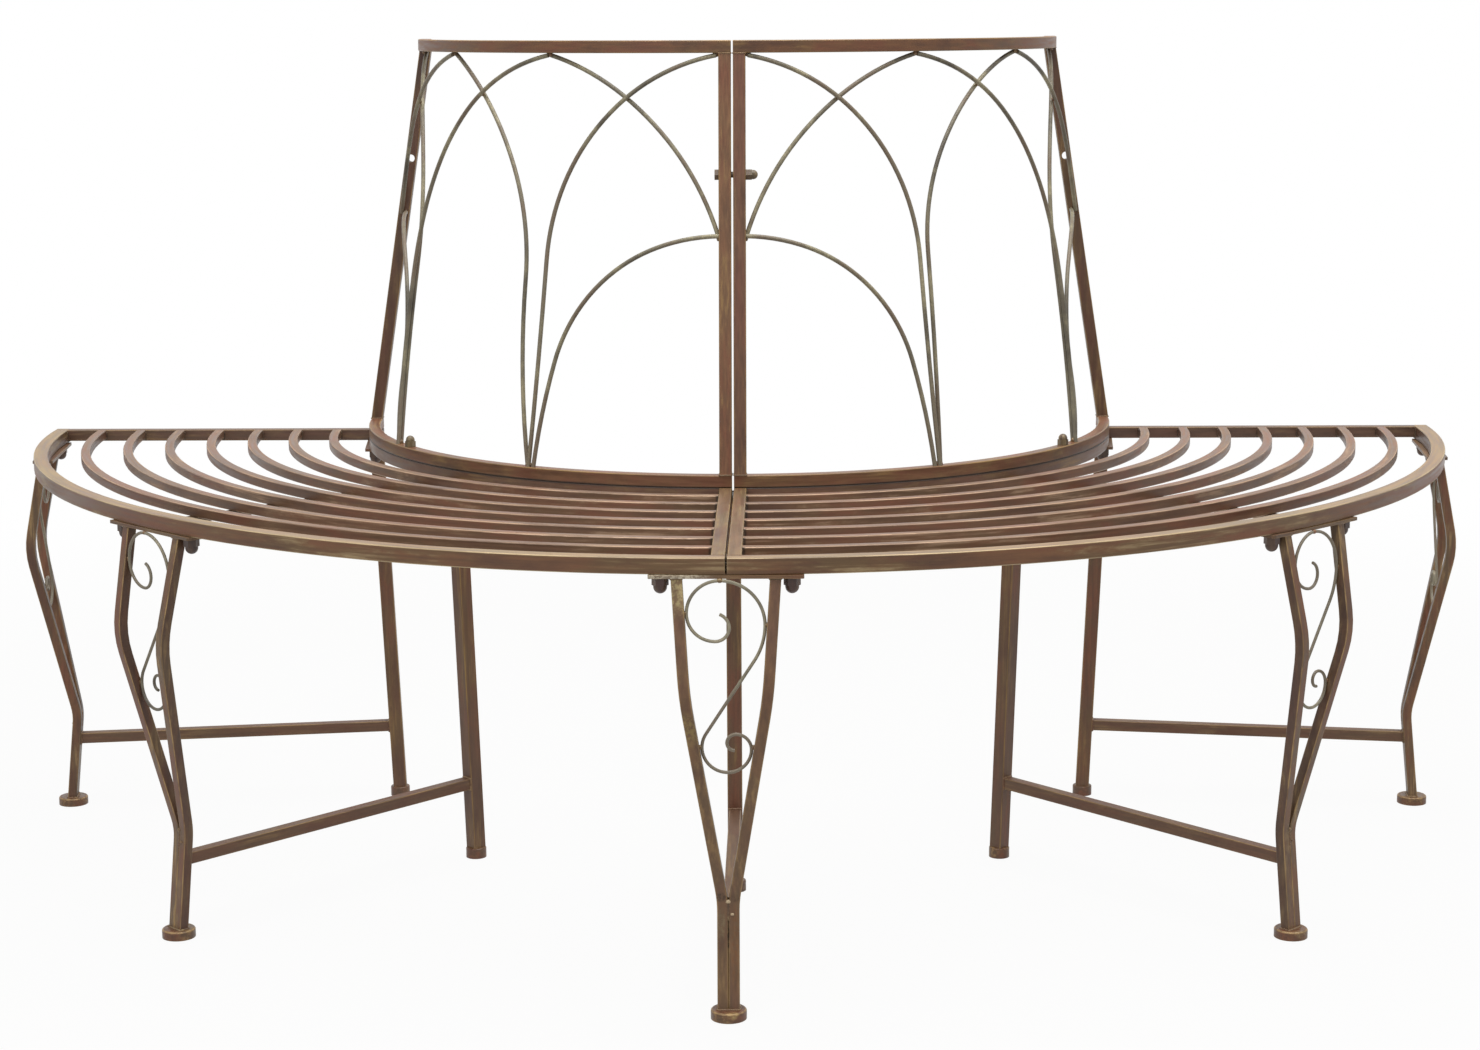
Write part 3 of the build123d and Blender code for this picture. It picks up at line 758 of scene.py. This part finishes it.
class WeldRun:
    """Weld beads of one sub-assembly, gathered in one mesh."""

    # Corners of a ring, and the step from ring to ring as a share of the radius
    RING_CORNERS = 8
    STEP_SHARE = 0.8
    # Height of the even ripples and turn from ring to ring, size of the uneven ones, and of a corner's
    RIPPLE, RIPPLE_TURN, UNEVEN, ROUGH = 0.16, 1.9, 0.12, 0.05
    # Share of the radius at an open end
    END_SHARE = 0.55

    def __init__(self, name: str, seed: int) -> None:
        """Starts an empty run.

        Args:
            name: The piece's name.
            seed: The seed of its lumps.
        """
        self.name = name
        self.mesh = bmesh.new()
        self.chance = random.Random(seed)

    def bead(self, corners: Sequence[Vector], radius: float, closed: bool = False) -> None:
        """Lays a rippled bead along a line.

        Args:
            corners: The line's corners in metres.
            radius: The bead's radius.
            closed: Whether the line runs back to its start.
        """
        line = self.stations(corners, radius * self.STEP_SHARE, closed)
        count = len(line)
        rings: list[Ring] = []
        side: Optional[Vector] = None
        for index, point in enumerate(line):
            before = line[index - 1] if index or closed else point
            after = line[(index + 1) % count] if index + 1 < count or closed else point
            along = (after - before).normalized()
            if side is None:
                side = along.orthogonal().normalized()
            side = (side - along * side.dot(along)).normalized()
            even = 1.0 + self.RIPPLE * math.cos(index * self.RIPPLE_TURN)
            ripple = even + self.chance.uniform(-self.UNEVEN, self.UNEVEN)
            if not closed and index in (0, count - 1):
                ripple *= self.END_SHARE
            rings.append(self.ring(point, along, side, radius * ripple))
        self.skin(rings, closed)

    def blob(self, middle: Vector, along: Vector, radius: float) -> None:
        """Lays one short round lump, longer in the given way."""
        step = along.normalized() * radius
        self.bead([middle - step, middle + step], radius)

    @staticmethod
    def stations(corners: Sequence[Vector], step: float, closed: bool) -> list[Vector]:
        """Divides a line into short steps.

        Args:
            corners: The line's corners.
            step: The longest step.
            closed: Whether the line runs back to its start.

        Returns:
            The points along the line.
        """
        ends = list(corners[1:]) + ([corners[0]] if closed else [])
        points: list[Vector] = []
        for start, end in zip(corners, ends):
            count = max(2, math.ceil((end - start).length / step))
            points += [start.lerp(end, index / count) for index in range(count)]
        if not closed:
            points.append(corners[-1].copy())
        return points

    def ring(self, middle: Vector, along: Vector, side: Vector, radius: float) -> Ring:
        """Adds one ring of corners.

        Args:
            middle: The ring's middle.
            along: The line's heading there.
            side: A way across the line.
            radius: The ring's radius.

        Returns:
            The ring's corners.
        """
        across = along.cross(side)
        corners = []
        for index in range(self.RING_CORNERS):
            angle = index * math.tau / self.RING_CORNERS
            reach = radius * (1.0 + self.chance.uniform(-self.ROUGH, self.ROUGH))
            corners.append(self.mesh.verts.new(
                middle + (side * math.cos(angle) + across * math.sin(angle)) * reach))
        return corners

    def skin(self, rings: list[Ring], closed: bool) -> None:
        """Joins rings with faces and closes the ends.

        Args:
            rings: The rings in order.
            closed: Whether the last ring joins the first.
        """
        pairs = list(zip(rings, rings[1:])) + ([(rings[-1], rings[0])] if closed else [])
        for first, second in pairs:
            for index in range(self.RING_CORNERS):
                following = (index + 1) % self.RING_CORNERS
                self.mesh.faces.new((first[index], first[following], second[following], second[index]))
        if not closed:
            self.mesh.faces.new(list(reversed(rings[0])))
            self.mesh.faces.new(rings[-1])

    def finish(self, material: bpy.types.Material) -> None:
        """Turns the beads into a piece of the bench.

        Args:
            material: The piece's finish.
        """
        bmesh.ops.recalc_face_normals(self.mesh, faces=self.mesh.faces)
        data = bpy.data.meshes.new(self.name)
        self.mesh.to_mesh(data)
        self.mesh.free()
        data.polygons.foreach_set("use_smooth", [True] * len(data.polygons))
        data.materials.append(material)
        piece = bpy.data.objects.new(self.name, data)
        bpy.context.collection.objects.link(piece)
        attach(piece, "root")
        log.info("welded %s with %d faces", self.name, len(data.polygons))


@dataclass
class SeatHalf:
    """One quarter-ring seat: rims, radial bars and curved slats."""

    side: Side
    rim_outer: float = 0.782
    rim_tube: float = 0.015
    inner_rim: float = 0.4125
    bar_tube: float = 0.0125
    slat_tube: float = 0.010
    slat_count: int = 7
    top: float = SEAT_TOP
    half_gap: float = 0.001
    bead: float = 0.0011
    bead_drop: float = 0.002
    bead_inset: float = 0.001
    slit_fill: float = 0.9
    weld_seed: int = 11

    def slat_radius(self, number: int) -> float:
        """Middle radius of a slat.

        Args:
            number: The slat's number, from the outer rim.

        Returns:
            The radius in metres.
        """
        outer = self.rim_outer - self.rim_tube
        inner = self.inner_rim + self.bar_tube / 2
        gap = (outer - inner - self.slat_count * self.slat_tube) / (self.slat_count + 1)
        return outer + self.slat_tube / 2 - number * (gap + self.slat_tube)

    def dress(self, palette: Palette) -> None:
        """Finishes the CAD nodes of this half.

        Args:
            palette: The bench's finishes.
        """
        word = self.side.word
        dress(f"{word}_outer_rim", palette.rim)
        dress(f"{word}_inner_rim", palette.inner_rim)
        dress(f"{word}_centre_bar", palette.bar)
        dress(f"{word}_end_bar", palette.end_bar)
        # Painted shade: the slat support under the seat wears the dark seam finish
        dress(f"{word}_slat_support", palette.seam)
        for number in range(1, self.slat_count + 1):
            dress(f"{word}_slat_{number}", palette.slat)

    def point(self, x: float, y: float, z: float) -> Vector:
        """Point of this half, from one given for the left half."""
        return Vector((x if self.side is Side.LEFT else -x, y, z))

    def weld(self, palette: Palette) -> None:
        """Lays the beads at the slats' ends and at the bars' ends, and fills the slit in the rims with a
        dark bead that paints the shade in the slit.

        Args:
            palette: The bench's finishes.
        """
        run = WeldRun(f"{self.side.word}_seat_welds", self.weld_seed + self.side.value)
        joint = self.half_gap + self.bar_tube
        for number in range(1, self.slat_count + 1):
            self.weld_slat(run, self.slat_radius(number), joint)
        high = self.top - self.bead_drop
        bottom = self.top - self.bar_tube
        for reach in (self.rim_outer - self.rim_tube, self.inner_rim + self.bar_tube / 2):
            run.bead([
                self.point(-joint, -reach, high), self.point(-joint, -reach, bottom),
                self.point(-self.half_gap - self.bead_inset, -reach, bottom)], self.bead)
            # A dark bead nearly fills the slit between the halves, standing in for the shade in the slit
            run.bead([
                self.point(-self.half_gap, -reach, self.top - self.rim_tube),
                self.point(-self.half_gap, -reach, high)], self.half_gap * self.slit_fill)
            run.bead([
                self.point(-reach, -self.bar_tube, high), self.point(-reach, -self.bar_tube, bottom),
                self.point(-reach, -self.bead_inset, bottom)], self.bead)
        # Painted shade: the seat's beads and slit filler wear the dark seam finish
        run.finish(palette.seam)

    def weld_slat(self, run: WeldRun, radius: float, joint: float) -> None:
        """Lays a cup of beads under each end of a slat: down one side, across and up the other.

        Args:
            run: The half's beads.
            radius: The slat's middle radius.
            joint: The distance of the centre bar's face from the middle plane.
        """
        high, low = self.top - self.bead_drop, self.top - self.slat_tube
        outer, inner = radius + self.slat_tube / 2, radius - self.slat_tube / 2
        cup = ((outer, high), (outer, low), (inner, low), (inner, high))
        run.bead([self.point(-joint, -math.sqrt(reach**2 - joint**2), z) for reach, z in cup], self.bead)
        face = self.bar_tube
        run.bead([self.point(-math.sqrt(reach**2 - face**2), -face, z) for reach, z in cup], self.bead)


@dataclass(frozen=True)
class RodArch:
    """A bent rod: the angles of its top and of its shoulder, and the slope at its top."""

    apex: float
    shoulder: float
    slope: float


@dataclass
class BackrestPanel:
    """One leaning panel: rails, posts and the rods bent into pointed arches."""

    side: Side
    top: float = 0.861
    seat: float = SEAT_TOP
    tube: float = 0.0125
    foot_radius: float = 0.4125
    top_radius: float = 0.347
    rod: float = 0.00225
    half_gap: float = 0.001
    apex: float = 32.2
    corner: float = 2.6
    outer_node: float = 29.0
    inner_node: float = 59.7
    middle_degree: tuple[float, float] = (44.5, 45.5)
    span: float = 90.0
    brace_drop: float = 0.179
    brace_ends: tuple[float, float] = (2.0, 88.0)
    bead: float = 0.0007
    bead_lift: float = 0.0002
    top_lump: float = 0.0030
    top_drop: float = 0.6
    foot_lump: float = 0.0036
    foot_lift: float = 0.0012
    brace_lump: float = 0.0028
    crossing_lump: float = 0.0026
    weld_seed: int = 31
    halvings: int = 40

    @property
    def low(self) -> float:
        """Height of the bottom rail's top."""
        return self.seat + self.tube

    @property
    def high(self) -> float:
        """Height of the top rail's underside."""
        return self.top - self.tube

    def lean_radius(self, height: float) -> float:
        """Radius of the leaning panel at a height."""
        lean = (self.foot_radius - self.top_radius) / (self.high - self.low)
        return self.foot_radius - lean * (height - self.low)

    def point(self, angle: float, height: float) -> Vector:
        """Point on the leaning panel.

        Args:
            angle: Degrees from the panel's outer end.
            height: Height above the floor.

        Returns:
            The point in metres.
        """
        radius = self.lean_radius(height)
        turn = math.radians(angle)
        return Vector((self.side.value * radius * math.cos(turn), -radius * math.sin(turn), height))

    def arches(self) -> list[tuple[RodArch, RodArch]]:
        """Lists the rods that cross.

        Returns:
            Pairs, of which the first falls towards larger angles and the second back.
        """
        far = self.span - self.apex
        if self.side is Side.LEFT:
            inner = RodArch(self.apex, shoulder=56.2, slope=22.0)
        else:
            inner = RodArch(self.apex, shoulder=58.4, slope=10.0)
        return [
            (RodArch(self.corner, shoulder=26.3, slope=22.0), RodArch(self.apex, shoulder=0.4, slope=13.0)),
            (inner, RodArch(far, shoulder=26.9, slope=10.0)),
            (RodArch(far, shoulder=89.6, slope=13.0),
             RodArch(self.span - self.corner, shoulder=60.4, slope=10.0)),
        ]

    def arch_height(self, rod: RodArch, angle: float) -> float:
        """Height of an arched rod at an angle.

        Args:
            rod: The rod.
            angle: The angle looked at.

        Returns:
            The height in metres.
        """
        slope = math.sin(math.radians(rod.slope))
        middle = self.lean_radius(self.high - self.brace_drop / 2)
        radius = math.radians(abs(rod.shoulder - rod.apex)) * middle / (1 - slope)
        share = (angle - rod.apex) / (rod.shoulder - rod.apex)
        bend = min(1.0, slope + (1 - slope) * share)
        drop = radius * (math.cos(math.radians(rod.slope)) - math.sqrt(1 - bend**2))
        return self.high - self.rod - drop

    def crossing(self, first: RodArch, second: RodArch) -> tuple[float, float]:
        """Finds where two arched rods cross, by halving.

        Args:
            first: The rod that falls towards larger angles.
            second: The rod that falls towards smaller angles.

        Returns:
            The angle and the height of the crossing.
        """
        low, high = max(first.apex, second.shoulder), min(first.shoulder, second.apex)
        for _ in range(self.halvings):
            middle = (low + high) / 2
            if self.arch_height(first, middle) > self.arch_height(second, middle):
                low = middle
            else:
                high = middle
        return low, self.arch_height(first, low)

    def dress(self, palette: Palette) -> None:
        """Finishes the CAD nodes of this panel.

        Args:
            palette: The bench's finishes.
        """
        word = self.side.word
        for piece in ("top_rail", "bottom_rail"):
            dress(f"{word}_{piece}", palette.rail)
        golden = self.side is Side.LEFT
        dress(f"{word}_centre_post", palette.golden_post if golden else palette.red_post)
        dress(f"{word}_end_post", palette.end_post)
        dress(f"{word}_arch_rods", palette.rod)

    def weld(self, palette: Palette) -> None:
        """Lays the beads round the posts' ends and the lumps on the rods.

        Args:
            palette: The bench's finishes.
        """
        run = WeldRun(f"{self.side.word}_backrest_welds", self.weld_seed + self.side.value)
        half = self.tube / 2
        for height in (self.low + self.bead_lift, self.high - self.bead_lift):
            reach = self.lean_radius(height)
            near = (self.side.value * (self.half_gap + half), -reach)
            far = (self.side.value * reach, -half)
            for x, y in (near, far):
                run.bead([Vector((x + a * half, y + b * half, height)) for a, b in SQUARE], self.bead, True)
        start, end = (self.point(angle, self.low) for angle in self.middle_degree)
        level = end - start
        for angle in (self.corner, self.apex, self.span - self.apex, self.span - self.corner):
            run.blob(self.point(angle, self.high - self.rod * self.top_drop), level, self.top_lump)
        for angle in (self.outer_node, self.inner_node):
            run.blob(self.point(angle, self.low + self.foot_lift), level, self.foot_lump)
        for angle in self.brace_ends:
            run.blob(self.point(angle, self.high - self.brace_drop - self.rod), UP, self.brace_lump)
        for first, second in self.arches():
            run.blob(self.point(*self.crossing(first, second)), level, self.crossing_lump)
        run.finish(palette.weld)


@dataclass
class LegFrame:
    """One leg frame: a pair of bent front tubes, a scroll, a stretcher and a rear leg."""

    name: str
    angle: float
    tube: float = 0.010
    seam: float = 0.0001
    top_reach: float = 0.776
    bulge_reach: float = 0.797
    knee_reach: float = 0.7575
    foot_reach: float = 0.768
    plate_height: float = 0.405
    bulge_height: float = 0.303
    knee_height: float = 0.1065
    foot_height: float = 0.009
    top_spread: float = 0.0432
    bulge_spread: float = 0.0365
    stretcher: float = 0.012
    stretcher_heights: tuple[float, float] = (0.0775, 0.083)
    rear_tube: float = 0.015
    rear_reaches: tuple[float, float] = (0.411, 0.3955)
    rear_heights: tuple[float, float] = (0.4075, 0.011)
    wire: float = 0.0015
    scroll_reach: float = 0.7835
    scroll_top_offset: float = -0.0054
    lower_bend: float = 0.0226
    bead: float = 0.0012
    bead_drop: float = 0.0003
    knee_bead: float = 0.0013
    knee_bead_sink: float = 0.0008
    knee_bead_rises: tuple[float, ...] = (0.002, -0.008, -0.017)
    # Sideways place, rise over the knee and radius of each dab
    dabs: tuple[Place, ...] = ((0.0, 0.0004, 0.0021), (0.0036, -0.0112, 0.0016))
    dab_sink: float = 0.0003
    plate_lump: float = 0.0022
    tube_lump: float = 0.0021
    tube_lump_inset: float = 0.3
    weld_seed: int = 50
    dab_seed: int = 150
    touch_rounds: int = 12

    def at(self, sideways: float, reach: float, height: float) -> Vector:
        """Point of this frame, sideways from its middle plane, out from the trunk axis and up."""
        turn = Matrix.Rotation(math.radians(self.angle - FRONT), 3, "Z")
        return turn @ Vector((sideways, -reach, height))

    @property
    def across(self) -> Vector:
        """The sideways heading of this frame."""
        return self.at(1, 0, 0)

    def along(self, height: float, top: float, bulge: float, knee: float, foot: float) -> float:
        """Value of the front tubes' straight runs at a height.

        Args:
            height: Height above the floor.
            top: The value at the plate.
            bulge: The value at the bulge.
            knee: The value at the knee.
            foot: The value at the foot.

        Returns:
            The value in between.
        """
        runs = [(self.plate_height, top), (self.bulge_height, bulge), (self.knee_height, knee),
                (self.foot_height, foot)]
        for (upper, above), (lower, below) in zip(runs, runs[1:]):
            if height >= lower:
                return below + (above - below) * (height - lower) / (upper - lower)
        return foot

    def spread(self, height: float) -> float:
        """Sideways distance of a front tube's middle at a height."""
        pair = (self.tube + self.seam) / 2
        return self.along(height, self.top_spread, self.bulge_spread, pair, pair)

    def reach(self, height: float) -> float:
        """Distance of the front tubes from the trunk axis at a height."""
        return self.along(height, self.top_reach, self.bulge_reach, self.knee_reach, self.foot_reach)

    def rear_reach(self, height: float) -> float:
        """Distance of the rear leg's middle from the trunk axis at a height."""
        share = (height - self.rear_heights[1]) / (self.rear_heights[0] - self.rear_heights[1])
        return self.rear_reaches[1] + share * (self.rear_reaches[0] - self.rear_reaches[1])

    def dress(self, palette: Palette) -> None:
        """Finishes the CAD nodes of this frame.

        Args:
            palette: The bench's finishes.
        """
        dress(f"{self.name}_front_leg", palette.middle_leg if self.name == MIDDLE_LEG else palette.leg)
        dress(f"{self.name}_rear_leg", palette.rear_leg)
        dress(f"{self.name}_stretcher", palette.stretcher)
        dress(f"{self.name}_scroll", palette.scroll)

    def flat_loop(self, middle: Place, wide: float, deep: float) -> list[Vector]:
        """Level rectangle round a tube, by its middle and half its width and depth."""
        sideways, reach, height = middle
        return [self.at(sideways + a * wide, reach + b * deep, height) for a, b in SQUARE]

    def upright_loop(self, reach: float, height: float) -> list[Vector]:
        """Upright square round the stretcher's end, by the reach and height of its middle."""
        half = self.stretcher / 2
        return [self.at(a * half, reach, height + b * half) for a, b in SQUARE]

    def weld(self, palette: Palette) -> None:
        """Lays the beads where this frame's tubes and its scroll meet.

        Args:
            palette: The bench's finishes.
        """
        run = WeldRun(f"{self.name}_leg_welds", int(self.weld_seed + self.angle))
        half, rear_half = self.tube / 2, self.rear_tube / 2
        for sign in (-1, 1):
            top = (sign * self.top_spread, self.top_reach, self.plate_height - self.bead_drop)
            run.bead(self.flat_loop(top, half, half), self.bead, True)
        self.weld_knee(run)
        foot = (0.0, self.foot_reach, self.foot_height)
        run.bead(self.flat_loop(foot, self.tube + self.seam / 2, half), self.bead, True)
        front, back = self.stretcher_heights
        run.bead(self.upright_loop(self.reach(front) - half, front), self.bead, True)
        run.bead(self.upright_loop(self.rear_reach(back) + rear_half, back), self.bead, True)
        rear = (0.0, self.rear_reaches[0], self.rear_heights[0] - self.bead_drop)
        run.bead(self.flat_loop(rear, rear_half, rear_half), self.bead, True)
        self.weld_scroll(run)
        run.finish(palette.weld)
        self.dab_knee(palette)

    def dab_knee(self, palette: Palette) -> None:
        """Lays the two lumps where the tubes were tacked together at the knee.

        Args:
            palette: The bench's finishes.
        """
        run = WeldRun(f"{self.name}_knee_dabs", int(self.dab_seed + self.angle))
        front = self.tube / 2 - self.dab_sink
        for sideways, rise, radius in self.dabs:
            height = self.knee_height + rise
            run.blob(self.at(sideways, self.reach(height) + front, height), self.across, radius)
        # The middle leg's dabs wear the lighter dab finish, a painted highlight on the tack welds
        run.finish(palette.dab if self.name == MIDDLE_LEG else palette.weld)

    def weld_knee(self, run: WeldRun) -> None:
        """Fills the seam between the two tubes at the knee, front and back.

        Args:
            run: The frame's beads.
        """
        depth = self.tube / 2 - self.knee_bead_sink
        heights = [self.knee_height + rise for rise in self.knee_bead_rises]
        for sign in (-1, 1):
            run.bead([self.at(0.0, self.reach(z) + sign * depth, z) for z in heights], self.knee_bead)

    def weld_scroll(self, run: WeldRun) -> None:
        """Lays a lump wherever the scroll touches the plate or a tube.

        Args:
            run: The frame's beads.
        """
        low = min(corner.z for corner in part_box(f"{self.name}_scroll"))
        top = self.plate_height - self.wire
        run.blob(self.at(self.scroll_top_offset, self.scroll_reach, top), self.across, self.plate_lump)
        for sign in (-1, 1):
            for height in (self.touch(top, sign), low + self.wire + self.lower_bend):
                sideways = sign * (self.spread(height) - self.tube / 2 - self.wire * self.tube_lump_inset)
                run.blob(self.at(sideways, self.scroll_reach, height), UP, self.tube_lump)

    def touch(self, top: float, sign: int) -> float:
        """Finds where the scroll's arc, which starts level under the plate, touches a tube.

        Args:
            top: Height of the arc's start.
            sign: Which tube, -1 or 1.

        Returns:
            The height of the contact.
        """
        height = top
        for _ in range(self.touch_rounds):
            height = top - (self.spread(height) - self.tube / 2 - self.wire - sign * self.scroll_top_offset)
        return height


class Fasteners:
    """Plates, feet, studs, cap nuts and bolts that all the frames share."""

    def dress(self, palette: Palette) -> None:
        """Finishes the shared CAD nodes.

        Args:
            palette: The bench's finishes.
        """
        dress("leg_plates", palette.plate)
        dress("leg_feet", palette.foot)
        dress("leg_studs", palette.stud)
        dress("leg_cap_nuts", palette.nut)
        dress("backrest_bolts", palette.link)
        dress("backrest_cap_nuts", palette.link)


@dataclass(frozen=True)
class SoftLamp:
    """A square soft lamp: where it hangs, what it points at, its side and its power."""

    name: str
    place: Place
    target: Place
    size: float
    watts: float

    def hang(self) -> None:
        """Adds the lamp to the scene."""
        data = bpy.data.lights.new(self.name, "AREA")
        data.shape = "SQUARE"
        data.size = self.size
        data.energy = self.watts
        lamp = bpy.data.objects.new(self.name, data)
        lamp.location = self.place
        heading = Vector(self.target) - Vector(self.place)
        lamp.rotation_euler = heading.to_track_quat("-Z", "Y").to_euler()
        bpy.context.collection.objects.link(lamp)


@dataclass
class Studio:
    """Pale floor, soft lamps and the camera."""

    eye: Place = (0.0494, -3.1453, 0.8849)
    yaw: float = -0.895
    pitch: float = -10.375
    roll: float = -0.295
    # Focal length over the photograph's width, both in its pixels
    focal_share: float = 2783.2 / 1480
    sensor: float = 36.0
    sight: float = 200.0
    floor_size: float = 60.0
    floor_drop: float = 0.0004
    floor_colour: Display = (192, 191, 188)
    floor_lift: tuple[float, float] = (0.94, 1.0)
    lift_reach: tuple[float, float] = (0.9, 2.4)
    sky_light: float = 0.35
    lamps: tuple[SoftLamp, ...] = (
        SoftLamp("overhead_softbox", (0.3, -0.6, 3.4), (0.0, -0.4, 0.4), size=3.0, watts=140.0),
        SoftLamp("front_softbox", (-1.8, -3.4, 2.2), (0.0, -0.4, 0.45), size=1.8, watts=24.0),
    )

    def light_world(self) -> None:
        """Makes the even white surroundings."""
        sheet = NodeSheet(bpy.data.worlds.new("studio_white"))
        soft, white = (sheet.add("ShaderNodeBackground", {"Color": WHITE, "Strength": strength})
                       for strength in (self.sky_light, 1.0))
        both = sheet.mix_shaders(sheet.background_rays(), soft, white)
        bpy.context.scene.world = sheet.close(both, "ShaderNodeOutputWorld")

    def lay_floor(self) -> None:
        """Lays the pale floor, which keeps the bench's soft shadow."""
        shape = bmesh.new()
        bmesh.ops.create_grid(shape, x_segments=8, y_segments=8, size=self.floor_size / 2)
        data = bpy.data.meshes.new("studio_floor")
        shape.to_mesh(data)
        shape.free()
        data.materials.append(self.floor_material())
        floor = bpy.data.objects.new("studio_floor", data)
        floor.location.z = -self.floor_drop
        bpy.context.collection.objects.link(floor)

    def floor_material(self) -> bpy.types.Material:
        """Builds the floor's matt finish, which the camera sees run out into white.

        Returns:
            Its material.
        """
        sheet = NodeSheet(bpy.data.materials.new("studio_floor_matt"))
        matt = sheet.add("ShaderNodeBsdfDiffuse", {"Color": linear(self.floor_colour)})
        white = sheet.add("ShaderNodeEmission", {})
        lift = sheet.between(sheet.trunk_distance(), *self.lift_reach, *self.floor_lift)
        return sheet.close(sheet.mix_shaders(sheet.times(sheet.background_rays(), lift), matt, white))

    def place_camera(self) -> None:
        """Puts the camera where the photograph was taken from."""
        yaw, pitch, roll = (math.radians(value) for value in (self.yaw, self.pitch, self.roll))
        ahead = Vector((
            math.sin(yaw) * math.cos(pitch), math.cos(yaw) * math.cos(pitch), math.sin(pitch)))
        right = Vector((math.cos(yaw), -math.sin(yaw), 0.0))
        up = right.cross(ahead)
        level = right * math.cos(roll) + up * math.sin(roll)
        upright = up * math.cos(roll) - right * math.sin(roll)
        data = bpy.data.cameras.new("photo_camera")
        data.sensor_fit = "HORIZONTAL"
        data.sensor_width = self.sensor
        data.lens = self.sensor * self.focal_share
        data.clip_end = self.sight
        camera = bpy.data.objects.new("photo_camera", data)
        turn = Matrix((level, upright, -ahead)).transposed().to_4x4()
        camera.matrix_world = Matrix.Translation(self.eye) @ turn
        bpy.context.collection.objects.link(camera)
        bpy.context.scene.camera = camera

    def build(self) -> None:
        """Sets the whole studio up."""
        bpy.context.scene.view_settings.view_transform = "Standard"
        self.place_camera()
        self.light_world()
        self.lay_floor()
        for lamp in self.lamps:
            lamp.hang()
        log.info("studio ready")


def main() -> None:
    """Builds the studio, then dresses and welds every sub-assembly."""
    logging.basicConfig(level=logging.INFO, format="%(message)s")
    Studio().build()
    palette = Palette()
    for side in Side:
        for assembly in (SeatHalf(side), BackrestPanel(side)):
            assembly.dress(palette)
            assembly.weld(palette)
    for name, angle in LEG_ANGLES.items():
        leg = LegFrame(name, angle)
        leg.dress(palette)
        leg.weld(palette)
    Fasteners().dress(palette)


if __name__ == "__main__":
    main()
